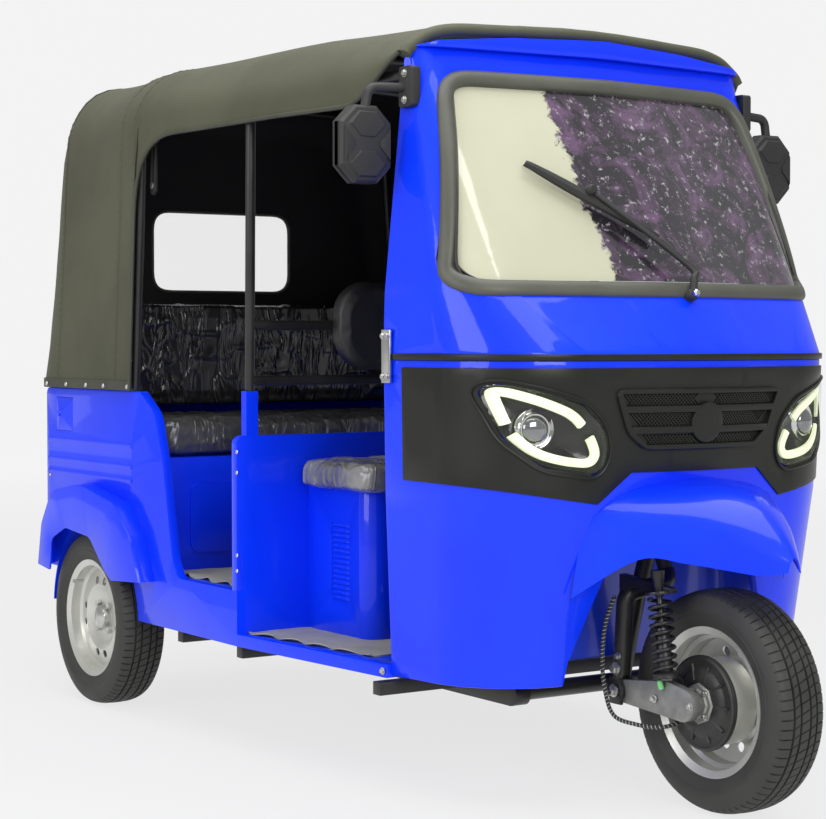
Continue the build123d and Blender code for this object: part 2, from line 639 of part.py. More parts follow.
# Passenger bench: pressed base, cushion and backrest
BENCH_TOP_Z = 719
BENCH_HALF_WIDTH = 568
BENCH_BACK_Y = rear(309)
BENCH_CUSHION_HEIGHT = 108
BACKREST_HEIGHT = 345
CUSHION_EDGE = 30
BACKREST_TAPER = 6
BENCH_CUSHION_TOP_Z = BENCH_TOP_Z + RUNNING_GAP + BENCH_CUSHION_HEIGHT
BACKREST_BOTTOM_Z = BENCH_CUSHION_TOP_Z + 2 * RUNNING_GAP - CUSHION_EDGE * tan(radians(BACKREST_TAPER))
with BuildPart() as passenger_base:
    with BuildSketch(cross_plane(SEAT_FACE_Y + WALL)):
        with Locations((0, (PASSENGER_FLOOR_Z + BENCH_TOP_Z) / 2)):
            Rectangle(2 * BENCH_HALF_WIDTH, BENCH_TOP_Z - PASSENGER_FLOOR_Z)
    extrude(amount=WALL)
    with BuildSketch(Plane.XY.offset(BENCH_TOP_Z - 20)):
        with Locations((0, (SEAT_FACE_Y + BENCH_BACK_Y) / 2)):
            Rectangle(2 * BENCH_HALF_WIDTH, BENCH_BACK_Y - SEAT_FACE_Y)
    extrude(amount=20)
    with BuildSketch(cross_plane(SEAT_FACE_Y)):
        for panel_x in (-280, 280):
            with Locations((panel_x, (PASSENGER_FLOOR_Z + BENCH_TOP_Z) / 2 - 10)):
                RectangleRounded(420, 190, 30)
    extrude(amount=8)
finish(passenger_base, "passenger_base")

with BuildPart() as passenger_cushion:
    with BuildSketch(Plane.XY.offset(BENCH_TOP_Z + RUNNING_GAP)):
        with Locations((0, SEAT_FACE_Y + 275)):
            RectangleRounded(1126, 510, 50)
    extrude(amount=BENCH_CUSHION_HEIGHT)
    fillet(passenger_cushion.faces().sort_by(Axis.Z)[-1].edges(), CUSHION_EDGE)
finish(passenger_cushion, "passenger_cushion")

with BuildPart() as passenger_backrest:
    with BuildSketch(cross_plane(rear(150))):
        with Locations((0, BACKREST_BOTTOM_Z + BACKREST_HEIGHT / 2)):
            RectangleRounded(1110, BACKREST_HEIGHT, 45)
    extrude(amount=75, taper=BACKREST_TAPER)
finish(passenger_backrest, "passenger_backrest")

# Tail
with BuildPart() as rear_panel:
    with BuildSketch(cross_plane(REAR_FACE_Y)):
        outline([(-574, 372), (574, 372), (574, QUARTER_TOP_Z), (-574, QUARTER_TOP_Z)], 8)
    extrude(amount=20)
    with BuildSketch(cross_plane(REAR_FACE_Y + 12)):
        with Locations((0, 640)):
            RectangleRounded(760, 300, 40)
            RectangleRounded(700, 240, 30, mode=Mode.SUBTRACT)
    extrude(amount=12)
    with BuildSketch(cross_plane(REAR_AXLE_Y + REAR_OVERHANG)):
        with Locations((0, 420)):
            RectangleRounded(1060, 60, 20)
    extrude(amount=REAR_OVERHANG - REAR_FACE_BACK)
finish(rear_panel, "rear_panel")

with BuildPart() as tail_lamps:
    for lamp_x in (-500, 500):
        with BuildSketch(cross_plane(REAR_FACE_Y + 14)):
            with Locations((lamp_x, 640)):
                RectangleRounded(80, 220, 25)
        extrude(amount=14)
finish(tail_lamps, "tail_lamps")

# Rear fenders: thin arches that stand out over the tyres
FENDER_OUT = 50
FENDER_ARCH = [(rear(-387), 388), (rear(-330), 510), (rear(-240), 590), (rear(0), 632), (rear(190), 600), (rear(262), 500), (rear(288), 378)]
FENDER_MOUTH = [(rear(200), 367), (rear(188), 462), (rear(90), 500), (rear(-74), 486), (rear(-173), 400), (rear(-215), 377)]
FENDER_ARCH_RADII = (0, 40, 90, 200, 90, 60, 0)
for side, name in ((-1, "right"), (1, "left")):
    with BuildPart() as rear_fender:
        with BuildSketch(side_plane(side * BODY_HALF_WIDTH)):
            outline(FENDER_ARCH + FENDER_MOUTH, FENDER_ARCH_RADII + (10, 30, 60, 60, 30, 0))
        extrude(amount=side * FENDER_OUT)
        with BuildSketch(side_plane(side * BODY_HALF_WIDTH)):
            outline(FENDER_ARCH + [(FENDER_ARCH[-1][0], 300), (FENDER_ARCH[0][0], 300)], FENDER_ARCH_RADII + (0, 0))
            offset(amount=-SHEET, mode=Mode.REPLACE)
        extrude(amount=side * (FENDER_OUT - SHEET), mode=Mode.SUBTRACT)
    finish(rear_fender, f"rear_fender_{name}")

# Canopy: distance behind the front axle, half width and level of its hem, half width and level
# of its side, of its shoulder and of its roof edge, level of the crown, radii of its corners
CANOPY = [
    (480, 513, 1700, 486, 1742, 414, 1758, 1772, 12, 20),
    (560, 545, 1560, 520, 1690, 425, 1766, 1782, 30, 40),
    (1000, 588, 1500, 570, 1660, 440, 1788, 1802, 60, 50),
    (1750, 612, QUARTER_TOP_Z, 585, 1690, 478, 1790, 1808, 60, 50),
    (2225, 612, QUARTER_TOP_Z, 560, 1640, 445, 1776, 1792, 60, 50),
]
CANOPY_TAIL = [
    (300, 612, QUARTER_TOP_Z, 545, 1600, 420, 1745, 1760, 60, 50),
    (340, 603, QUARTER_TOP_Z, 505, 1560, 385, 1680, 1695, 50, 50),
]
ARCH_OUTLINE = [(front(300), 1694), (front(536), 1694), (front(665), 1582), (front(1742), 1592), (front(1742), 850), (front(300), 850)]
ARCH_RADII = (0, 10, 60, 175, 0, 0)
REAR_WINDOW = (486, 251, 60)
REAR_WINDOW_Z = 1315
canopy_stations = [(front(row[0]),) + row[1:] for row in CANOPY] + [(rear(row[0]),) + row[1:] for row in CANOPY_TAIL]


def canopy_points(row, inset, drop):
    """Cross-section of the canopy, moved inwards by inset, its hem lowered by drop."""
    hem_x, hem_z, side_x, side_z, edge_x, edge_z, crown_z = row[1:8]
    half = [(hem_x, hem_z), (side_x, side_z), (edge_x, edge_z), (0, crown_z)]
    points = inset_path(mirrored(half), inset)
    points[0] = (points[0][0], hem_z - drop)
    points[-1] = (points[-1][0], hem_z - drop)
    return points


def canopy_loft(rows, inset=0.0, drop=0.0, mode=Mode.ADD):
    """Solid under the canopy's outer surface."""
    stations = []
    for row in rows:
        side_r, edge_r = row[8] - inset / 2, row[9] - inset / 2
        with BuildSketch(cross_plane(row[0])) as station:
            outline(canopy_points(row, inset, drop), (0, side_r, edge_r, 0, edge_r, side_r, 0))
        stations.append(station.sketch)
    loft(stations, ruled=True, mode=mode)


inner_rows = [(canopy_stations[0][0] - 1,) + canopy_stations[0][1:]] + canopy_stations[:-1]
inner_rows.append((canopy_stations[-1][0] - CANOPY_THICKNESS,) + canopy_stations[-1][1:])
with BuildPart() as canopy:
    canopy_loft(canopy_stations)
    canopy_loft(inner_rows, CANOPY_THICKNESS, 1, Mode.SUBTRACT)
    with BuildSketch(side_plane(-700)) as arch:
        outline(ARCH_OUTLINE, ARCH_RADII)
    extrude(arch.sketch, amount=1400, mode=Mode.SUBTRACT)
    with BuildSketch(cross_plane(rear(400))):
        with Locations((0, REAR_WINDOW_Z)):
            RectangleRounded(*REAR_WINDOW)
    extrude(amount=200, mode=Mode.SUBTRACT)
finish(canopy, "canopy")

with BuildPart() as rear_window:
    with BuildSketch(cross_plane(canopy_stations[-1][0] - 1)):
        with Locations((0, REAR_WINDOW_Z)):
            RectangleRounded(REAR_WINDOW[0] - 1, REAR_WINDOW[1] - 1, REAR_WINDOW[2] - 0.5)
    extrude(amount=2)
finish(rear_window, "rear_window")


def canopy_row(y):
    """Canopy cross-section at any station, between the two beside it."""
    for ahead, behind in zip(canopy_stations, canopy_stations[1:]):
        if ahead[0] <= y <= behind[0]:
            share = (y - ahead[0]) / (behind[0] - ahead[0])
            return tuple(a + (b - a) * share for a, b in zip(ahead, behind))


# Canopy frame: posts, hoops that follow the canopy from inside, roof rails and guard bars
HOOP_INSET = CANOPY_THICKNESS + TUBE_R + 4
HOOP_YS = (rear(-250), rear(230))
GUARD_BARS = (938, 1078)
ROOF_RAIL = [(486, PILLAR_Y + 1, 1645), (536, POST_Y, 1642), (556, HOOP_YS[0], 1640), (530, HOOP_YS[1], 1615)]
with BuildPart() as canopy_frame:
    post_points = canopy_points(canopy_row(POST_Y), HOOP_INSET, 0)
    post_points[0] = (POST_X, POST_FOOT_Z + 1)
    post_points[-1] = (-POST_X, POST_FOOT_Z + 1)
    tube([(x, POST_Y, z) for x, z in post_points], 40, TUBE_R)
    for hoop_y in HOOP_YS:
        hoop_points = canopy_points(canopy_row(hoop_y), HOOP_INSET, -1)
        tube([(x, hoop_y, z) for x, z in hoop_points], 40, TUBE_R)
    for side in (-1, 1):
        tube([(side * x, y, z) for x, y, z in ROOF_RAIL], 300, TUBE_R)
    for level in GUARD_BARS:
        with BuildSketch(side_plane(-POST_X)):
            with Locations((POST_Y, level)):
                Circle(TUBE_R)
        extrude(amount=2 * POST_X)
finish(canopy_frame, "canopy_frame")

# Wheels
WHEEL_BORE_R = 12 + RUNNING_GAP
STUB_R = 12
HUB_R = 32
LUG_PCD_R = 50
VENT_PCD_R = 106
TYRE_HALF = [(46.5, BEAD_R + RUNNING_GAP), (52.5, 166), (67.5, 205), (58, 238), (40, 244.5)]
RIM_SECTION = [
    (54, RIM_FLANGE_R), (47, BEAD_R), (22, BEAD_R - 2), (16, 142), (-16, 142), (-22, BEAD_R - 2), (-47, BEAD_R),
    (-54, RIM_FLANGE_R), (-57, RIM_FLANGE_R), (-50, BEAD_R - 3.5), (-24, BEAD_R - 5.5), (-18, 138.5),
    (12, 138.5), (17, 118), (22, 96), (10, 74), (6, 54), (6, HUB_R), (10, HUB_R), (10, 50), (14, 72),
    (26, 94), (22, 118), (18, 138.5), (24, BEAD_R - 5.5), (50, BEAD_R - 3.5), (57, RIM_FLANGE_R),
]
DRUM_R = 96
DRUM_DEPTH = 62


def axle_plane(centre, out):
    """Plane through an axle line: first axis outwards along it, second axis up."""
    return Plane(origin=centre, x_dir=(out, 0, 0), z_dir=(0, -out, 0))


def make_tyre(centre, out):
    axle = Axis(centre, (1, 0, 0))
    with BuildSketch(axle_plane(centre, out)) as section:
        with BuildLine() as edge:
            Polyline(*TYRE_HALF)
            ThreePointArc((40, 244.5), (0, TYRE_R), (-40, 244.5))
            Polyline(*[(-x, y) for x, y in reversed(TYRE_HALF)])
            Line((-TYRE_HALF[0][0], TYRE_HALF[0][1]), TYRE_HALF[0])
        make_face(edge.edges())
    revolve(section.sketch, axis=axle)


def make_rim(centre, out):
    axle = Axis(centre, (1, 0, 0))
    with BuildSketch(axle_plane(centre, out)) as section:
        outline(RIM_SECTION)
    revolve(section.sketch, axis=axle)
    face = Plane(origin=centre, x_dir=(0, 1, 0), z_dir=(out, 0, 0))
    with BuildSketch(face) as holes:
        for turn in range(4):
            for lean in (-13, 13):
                with PolarLocations(VENT_PCD_R, 1, start_angle=turn * 90 + lean):
                    Circle(11)
    extrude(holes.sketch, amount=40, mode=Mode.SUBTRACT)
    with BuildSketch(axle_plane(centre, out)) as drum:
        outline([
            (6, WHEEL_BORE_R), (30, WHEEL_BORE_R), (30, 24), (26, HUB_R), (6, HUB_R), (6, DRUM_R - 20),
            (0, DRUM_R), (6 - DRUM_DEPTH, DRUM_R), (6 - DRUM_DEPTH, DRUM_R - 6), (-6, DRUM_R - 6),
            (-2, DRUM_R - 20), (-2, HUB_R), (-40, HUB_R - 8), (-40, WHEEL_BORE_R),
        ])
    revolve(drum.sketch, axis=axle)


# name, centre of the tyre, direction of its outer face
WHEELS = [
    ("front", (0, FRONT_AXLE_Y, TYRE_R), 1),
    ("rear_right", (-REAR_TRACK_HALF, REAR_AXLE_Y, TYRE_R), -1),
    ("rear_left", (REAR_TRACK_HALF, REAR_AXLE_Y, TYRE_R), 1),
]
for name, centre, out in WHEELS:
    with BuildPart() as tyre:
        make_tyre(centre, out)
    finish(tyre, f"{name}_tyre")
    with BuildPart() as rim:
        make_rim(centre, out)
    finish(rim, f"{name}_rim")

# Steering column and handlebar
BAR_R = 11
GRIP_R = 16
GRIP_LENGTH = 115
stem_top = steer_point(STEM_LENGTH)
bar_points = [
    (335, stem_top[1] + 100, stem_top[2] + 22),
    (215, stem_top[1] + 78, stem_top[2] + 34),
    (110, stem_top[1] + 8, stem_top[2] + 22),
    (0, stem_top[1] + 6, stem_top[2] + 14),
]
with BuildPart() as steering_column:
    with BuildSketch(Plane(origin=steer_point(-5), z_dir=STEER_AXIS)):
        Circle(STEM_R)
    extrude(amount=STEM_LENGTH + 35)
    tube(bar_points[:3] + [(-x, y, z) for x, y, z in reversed(bar_points[:3])], 30, BAR_R)
    for side in (-1, 1):
        (ax, ay, az), (bx, by, bz) = bar_points[:2]
        with BuildSketch(Plane(origin=(side * ax, ay, az), z_dir=(side * (bx - ax), by - ay, bz - az))):
            Circle(GRIP_R)
        extrude(amount=GRIP_LENGTH)
finish(steering_column, "steering_column")

# Leading-link front fork on the wheel's right side
LEG_X = -120
LEG_R = 20
LINK_BACK = 220
LINK_Z = 249
LEG_TOP_Z = 470
SHOCK_X = -132
SHOCK_TOP_BACK = 75
SHOCK_TOP_Z = 482
SHOCK_FOOT_BACK = 50
SHOCK_FOOT_Z = 300
SPRING_R = 25
SPRING_WIRE_R = 4
SPRING_TURNS = 8
LINK_THICKNESS = 20
SEAT_THICKNESS = 6
shock_top = (SHOCK_X, front(SHOCK_TOP_BACK), SHOCK_TOP_Z)
shock_foot = (SHOCK_X, front(SHOCK_FOOT_BACK), SHOCK_FOOT_Z)
shock_axis = tuple(b - a for a, b in zip(shock_foot, shock_top))
shock_length = hypot(*shock_axis)
with BuildPart() as fork:
    leg_points = [
        steer_point(-5.5),
        steer_point(-34),
        (LEG_X, front(205), LEG_TOP_Z),
        (LEG_X, front(LINK_BACK), LINK_Z + 26),
    ]
    tube(leg_points, (20, 28), LEG_R)
    with BuildSketch(side_plane(LEG_X - 10)):
        outline([
            (front(SHOCK_TOP_BACK - 34), SHOCK_TOP_Z + 5),
            (front(180), SHOCK_TOP_Z + 5),
            (front(215), SHOCK_TOP_Z - 30),
            (front(215), SHOCK_TOP_Z + 32),
            (front(SHOCK_TOP_BACK - 34), SHOCK_TOP_Z + 16),
        ])
    extrude(amount=20)
    with BuildSketch(Plane(origin=shock_top, z_dir=shock_axis)):
        Circle(SPRING_R + SPRING_WIRE_R + 3)
    extrude(amount=SEAT_THICKNESS)
    with BuildSketch(side_plane(LEG_X - 18)):
        with Locations((front(LINK_BACK), LINK_Z)):
            Circle(28)
            Rectangle(40, 60)
    extrude(amount=36)
    with BuildSketch(side_plane(LEG_X - LINK_THICKNESS / 2 - RUNNING_GAP)):
        with Locations((front(LINK_BACK), LINK_Z)):
            Rectangle(70, 70)
    extrude(amount=LINK_THICKNESS + 2 * RUNNING_GAP, mode=Mode.SUBTRACT)
finish(fork, "fork")

with BuildPart() as link_arm:
    with BuildSketch(side_plane(LEG_X - LINK_THICKNESS / 2)):
        with Locations((front(LINK_BACK), LINK_Z)):
            Circle(24)
        with Locations((FRONT_AXLE_Y, TYRE_R)):
            Circle(36)
        with Locations((front(SHOCK_FOOT_BACK), SHOCK_FOOT_Z - 22)):
            Circle(14)
        make_hull()
    extrude(amount=LINK_THICKNESS)
    with BuildSketch(side_plane(LEG_X)):
        with Locations((FRONT_AXLE_Y, TYRE_R)):
            Circle(STUB_R)
    extrude(amount=-LEG_X + 36)
    with BuildSketch(side_plane(LEG_X)):
        with Locations((FRONT_AXLE_Y, TYRE_R)):
            Circle(26)
    extrude(amount=-LEG_X - 72)
    with BuildSketch(side_plane(36)):
        with Locations((FRONT_AXLE_Y, TYRE_R)):
            RegularPolygon(14, 6)
    extrude(amount=12)
finish(link_arm, "link_arm")

with BuildPart() as brake_plate:
    with BuildSketch(side_plane(-72)):
        with Locations((FRONT_AXLE_Y, TYRE_R)):
            Circle(105)
            Circle(STUB_R + RUNNING_GAP, mode=Mode.SUBTRACT)
    extrude(amount=8)
finish(brake_plate, "brake_plate")

# Spring and damper between the fork's seat and the link
with BuildPart() as shock:
    with BuildSketch(Plane(origin=shock_foot, z_dir=shock_axis)) as foot:
        Circle(SPRING_R + SPRING_WIRE_R + 2)
    extrude(amount=SEAT_THICKNESS)
    with BuildSketch(Plane(origin=shock_foot, z_dir=shock_axis)):
        Circle(15)
    extrude(amount=shock_length * 0.6)
    with BuildSketch(Plane(origin=shock_foot, z_dir=shock_axis)):
        Circle(7)
    extrude(amount=shock_length - RUNNING_GAP)
finish(shock, "shock")

spring_length = shock_length - SEAT_THICKNESS - 2 * RUNNING_GAP
spring_pitch = spring_length / SPRING_TURNS
with BuildPart() as spring:
    spring_plane = Plane(origin=shock_foot, x_dir=(1, 0, 0), z_dir=(0, -shock_axis[2], shock_axis[1]))
    with BuildSketch(spring_plane) as coil:
        spring_low = SEAT_THICKNESS + RUNNING_GAP
        with Locations((SPRING_R - SPRING_WIRE_R, spring_low + spring_length / 2)):
            Rectangle(3, spring_length)
        for turn in range(SPRING_TURNS):
            with Locations((SPRING_R - 1, spring_low + (turn + 0.5) * spring_pitch)):
                RegularPolygon(SPRING_WIRE_R, 6)
    revolve(axis=Axis(shock_foot, shock_axis))
finish(spring, "spring")

# Brake hose, held from the fork's head to the brake plate
HOSE_R = 4
with BuildPart() as brake_hose:
    hose_points = [
        (-152, front(205), 470),
        (-165, front(222), 400),
        (-165, front(232), 320),
        (-160, front(228), 250),
        (-165, front(190), 200),
        (-152, front(130), 188),
        (-128, front(85), 186),
        (-98, front(64), 192),
        (-74.3, front(60), 206),
    ]
    tube(hose_points, 24, HOSE_R)
finish(brake_hose, "brake_hose")

# Rear axle with its differential, drums' plates, and leaf springs
SPRING_X = HANGER_X
AXLE_TUBE_R = 30
PINION_LENGTH = 170
PLATE_X = REAR_TRACK_HALF - 64
with BuildPart() as rear_axle:
    with BuildSketch(side_plane(-PLATE_X)):
        with Locations((REAR_AXLE_Y, TYRE_R)):
            Circle(AXLE_TUBE_R)
    extrude(amount=2 * PLATE_X)
    with BuildSketch(side_plane(-REAR_TRACK_HALF - 24)):
        with Locations((REAR_AXLE_Y, TYRE_R)):
            Circle(STUB_R)
    extrude(amount=2 * REAR_TRACK_HALF + 48)
    with BuildSketch(axle_plane((0, REAR_AXLE_Y, TYRE_R), 1)):
        outline([(-110, 0), (110, 0), (80, 62), (45, 95), (-45, 95), (-80, 62)], (0, 0, 20, 20, 20, 20))
    revolve(axis=Axis((0, REAR_AXLE_Y, TYRE_R), (1, 0, 0)))
    with BuildSketch(cross_plane(REAR_AXLE_Y)):
        with Locations((0, TYRE_R)):
            Circle(42)
    extrude(amount=PINION_LENGTH)
    for side in (-1, 1):
        with BuildSketch(side_plane(side * PLATE_X)):
            with Locations((REAR_AXLE_Y, TYRE_R)):
                Circle(100)
        extrude(amount=side * 7)
finish(rear_axle, "rear_axle")

LEAF_HALF_LENGTHS = (370, 300, 230, 160)
LEAF_THICKNESS = 8
LEAF_WIDTH = 50
LEAF_EYE_Z = 335
with BuildPart() as leaf_springs:
    for side in (-1, 1):
        for number, half_length in enumerate(LEAF_HALF_LENGTHS):
            low_z = TYRE_R + AXLE_TUBE_R + (len(LEAF_HALF_LENGTHS) - 1 - number) * LEAF_THICKNESS + RUNNING_GAP
            end_z = low_z + (LEAF_EYE_Z - low_z - 10) * (half_length / LEAF_HALF_LENGTHS[0]) ** 2 * (1 if number == 0 else 0.8)
            with BuildSketch(side_plane(side * SPRING_X - LEAF_WIDTH / 2)):
                with BuildLine():
                    low = ThreePointArc((rear(-half_length), end_z), (REAR_AXLE_Y, low_z), (rear(half_length - 60), end_z - 8))
                    high = ThreePointArc((rear(-half_length), end_z + LEAF_THICKNESS), (REAR_AXLE_Y, low_z + LEAF_THICKNESS), (rear(half_length - 60), end_z - 8 + LEAF_THICKNESS))
                    Line(low @ 0, high @ 0)
                    Line(low @ 1, high @ 1)
                make_face()
            extrude(amount=LEAF_WIDTH)
finish(leaf_springs, "leaf_springs")

# Drive shaft and exhaust
SHAFT_R = 16
SHAFT_END_GAP = 2.2
SHAFT_FRONT_Y = ENGINE_Y + ENGINE_LENGTH / 2 + SHAFT_END_GAP
SHAFT_FRONT_Z = 325
with BuildPart() as drive_shaft:
    rod((0, rear(-PINION_LENGTH - SHAFT_END_GAP), TYRE_R), (0, SHAFT_FRONT_Y, SHAFT_FRONT_Z), SHAFT_R)
finish(drive_shaft, "drive_shaft")

with BuildPart() as silencer:
    with BuildSketch(cross_plane(rear(-160))):
        with Locations((-190, 300)):
            Circle(44)
    extrude(amount=270)
    tube([(-190, rear(-425), 300), (-190, BULKHEAD_Y + 190, 300), (-105, BULKHEAD_Y + 90, 335), (-105, ENGINE_Y + ENGINE_LENGTH / 2 + RUNNING_GAP, 335)], 50, 17)
finish(silencer, "silencer")

# Dash shelf under the windshield
DASH_Z = 1085
DASH_THICKNESS = 35
with BuildPart() as dash:
    cowl_loft(COWL_UPPER, WALL, 50)
    with BuildSketch(Plane.XY.offset(DASH_Z)):
        with Locations((0, front(60))):
            Rectangle(1200, 420)
    extrude(amount=DASH_THICKNESS, mode=Mode.INTERSECT)
finish(dash, "dash")

# Mirrors on their brackets, wiper, grab straps and hinge plates
MIRROR_Z = 1478
MIRROR_X = 613
MIRROR_HALF = (67, 87)
MIRROR_CORNER = 38
MIRROR_BODY_DEPTH = 22
MIRROR_DOME_DEPTH = 20
with BuildPart() as mirrors:
    for side in (-1, 1):
        with BuildSketch(cross_plane(front(552))) as glass_side:
            with Locations((side * MIRROR_X, MIRROR_Z)):
                Rectangle(2 * MIRROR_HALF[0], 2 * MIRROR_HALF[1])
            chamfer(glass_side.vertices(), MIRROR_CORNER)
        extrude(amount=MIRROR_BODY_DEPTH)
        with BuildSketch(cross_plane(front(552) - MIRROR_BODY_DEPTH)) as dome:
            with Locations((side * MIRROR_X, MIRROR_Z)):
                Rectangle(2 * MIRROR_HALF[0], 2 * MIRROR_HALF[1])
            chamfer(dome.vertices(), MIRROR_CORNER)
        extrude(amount=MIRROR_DOME_DEPTH, taper=40)
        tube([(side * 500, front(525), 1612), (side * 600, front(530), 1606), (side * 612, front(532), 1540)], 24, 11)
        with BuildSketch(Plane.YZ.offset(side * 488)):
            with Locations((front(512), 1612)):
                RectangleRounded(50, 92, 8)
        extrude(amount=side * 26)
    cowl_loft(grown(COWL_UPPER, 1, 1), -RUNNING_GAP, 50, Mode.SUBTRACT)
finish(mirrors, "mirrors")

with BuildPart() as wiper:
    tube([(-15, front(143.2), 1128), (-15, front(112), 1160), (-240, front(205), 1325)], 10, 6)
    rod((-60, front(140), 1190), (-430, front(330), 1455), 7)
finish(wiper, "wiper")

STRAP_LENGTH = 190
STRAP_Y = rear(-300)
STRAP_X = ROOF_RAIL[2][0] - 1.5
STRAP_TOP_Z = ROOF_RAIL[2][2] - TUBE_R - RUNNING_GAP
with BuildPart() as grab_straps:
    for side in (-1, 1):
        with BuildSketch(side_plane(side * STRAP_X - 4)):
            with Locations((STRAP_Y, STRAP_TOP_Z - STRAP_LENGTH / 2)):
                SlotOverall(STRAP_LENGTH, 30, rotation=90)
                SlotOverall(STRAP_LENGTH - 60, 10, rotation=90, mode=Mode.SUBTRACT)
        extrude(amount=8)
finish(grab_straps, "grab_straps")

with BuildPart() as hinge_plates:
    for side in (-1, 1):
        with BuildSketch(side_plane(side * HINGE_X)):
            with Locations((HINGE_Y, HINGE_Z)):
                Rectangle(HINGE_PLATE[0], HINGE_PLATE[1])
                with GridLocations(HINGE_BOLTS[0], HINGE_BOLTS[1], 2, 2):
                    Circle(HINGE_BOLT_R, mode=Mode.SUBTRACT)
        extrude(amount=side * HINGE_PLATE[2])
finish(hinge_plates, "hinge_plates")
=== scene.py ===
from math import atan2, cos, pi, radians, sin

import bmesh
import bpy
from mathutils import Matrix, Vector, noise
from mathutils.bvhtree import BVHTree


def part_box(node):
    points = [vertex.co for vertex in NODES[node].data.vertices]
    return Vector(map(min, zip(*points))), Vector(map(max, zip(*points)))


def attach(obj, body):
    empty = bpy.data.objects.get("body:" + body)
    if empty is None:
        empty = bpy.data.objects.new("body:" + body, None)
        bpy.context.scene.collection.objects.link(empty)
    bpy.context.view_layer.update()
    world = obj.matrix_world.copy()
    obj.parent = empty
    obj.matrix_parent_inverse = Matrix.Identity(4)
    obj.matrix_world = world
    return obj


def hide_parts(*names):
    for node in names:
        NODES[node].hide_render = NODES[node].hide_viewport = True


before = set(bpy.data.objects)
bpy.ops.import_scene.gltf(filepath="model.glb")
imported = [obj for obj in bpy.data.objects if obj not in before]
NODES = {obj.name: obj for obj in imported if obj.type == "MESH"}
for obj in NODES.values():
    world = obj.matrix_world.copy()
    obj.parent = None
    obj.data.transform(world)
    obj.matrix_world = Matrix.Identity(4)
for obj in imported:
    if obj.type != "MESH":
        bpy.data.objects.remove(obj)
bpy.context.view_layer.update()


def middle(node):
    low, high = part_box(node)
    return [(a + b) / 2 for a, b in zip(low, high)]


FRONT_Y = middle("front_tyre")[1]
REAR_BACK = (middle("rear_right_tyre")[1] - FRONT_Y) * 1000
AXLE_Z = middle("front_tyre")[2] * 1000
REAR_WHEEL_X = 555.5
SIDES = (-1, 1)


def at(x, back, z):
    """Point given in millimetres: across, behind the front axle and above the ground."""
    return Vector((x / 1000, FRONT_Y + back / 1000, z / 1000))


# Camera
camera = bpy.data.objects.new("camera", bpy.data.cameras.new("camera"))
bpy.context.scene.collection.objects.link(camera)
camera.location = (-3.03952, -4.38556, 1.04090)
camera.rotation_euler = (radians(90 - 1.9616), 0, radians(-33.5213))
camera.data.lens = 88.52
camera.data.sensor_width = 36
camera.data.clip_end = 200
bpy.context.scene.camera = camera
bpy.context.scene.view_settings.view_transform = "Standard"


# Shader building

def add(tree, kind, settings=(), **values):
    """New node; each value is a number, a colour or an output, by socket name or by i and its number."""
    made = tree.nodes.new(kind)
    for key, value in dict(settings).items():
        setattr(made, key, value)
    for key, value in values.items():
        numbered = key[0] == "i" and key[1:].isdigit()
        socket = made.inputs[int(key[1:]) if numbered else key.replace("_", " ")]
        if isinstance(value, bpy.types.NodeSocket):
            tree.links.new(value, socket)
        else:
            socket.default_value = value
    return made


def maths(tree, operation, first, second=0.0):
    return add(tree, "ShaderNodeMath", {"operation": operation}, i0=first, i1=second).outputs[0]


def blended(tree, factor, first, second):
    mix = add(tree, "ShaderNodeMix", {"data_type": "RGBA"}, i0=factor, i6=first, i7=second)
    return mix.outputs[2]


def spread(tree, value, low, high, to_low=0.0, to_high=1.0):
    """Value from low..high spread over to_low..to_high."""
    return add(tree, "ShaderNodeMapRange", i0=value, i1=low, i2=high, i3=to_low, i4=to_high).outputs[0]


def new_group(name, inputs, outputs):
    tree = bpy.data.node_groups.new(name, "ShaderNodeTree")
    for label, kind, value in inputs:
        socket = tree.interface.new_socket(label, in_out="INPUT", socket_type=kind)
        socket.default_value = value
    for label, kind in outputs:
        tree.interface.new_socket(label, in_out="OUTPUT", socket_type=kind)
    return tree, tree.nodes.new("NodeGroupInput"), tree.nodes.new("NodeGroupOutput")


def make_grain():
    """Fine surface grain as a normal, with wide soft patches as a mask."""
    tree, given, result = new_group(
        "surface_grain",
        [("Grain Scale", "NodeSocketFloat", 300.0), ("Grain Depth", "NodeSocketFloat", 0.0002),
         ("Patch Scale", "NodeSocketFloat", 3.0), ("Stretch", "NodeSocketVector", (1, 1, 1))],
        [("Normal", "NodeSocketVector"), ("Patch", "NodeSocketFloat"), ("Fine", "NodeSocketFloat")],
    )
    place = tree.nodes.new("ShaderNodeTexCoord").outputs["Object"]
    stretch = given.outputs["Stretch"]
    drawn = add(tree, "ShaderNodeVectorMath", {"operation": "MULTIPLY"}, i0=place, i1=stretch).outputs[0]
    fine = add(tree, "ShaderNodeTexNoise", Vector=drawn, Scale=given.outputs["Grain Scale"], Detail=2.0)
    wide = add(tree, "ShaderNodeTexNoise", Vector=place, Scale=given.outputs["Patch Scale"], Detail=4.0,
               Roughness=0.6)
    bump = add(tree, "ShaderNodeBump", Distance=given.outputs["Grain Depth"], Height=fine.outputs[0])
    tree.links.new(bump.outputs[0], result.inputs["Normal"])
    tree.links.new(spread(tree, wide.outputs[0], 0.35, 0.65), result.inputs["Patch"])
    tree.links.new(spread(tree, fine.outputs[0], 0.3, 0.7), result.inputs["Fine"])
    return tree


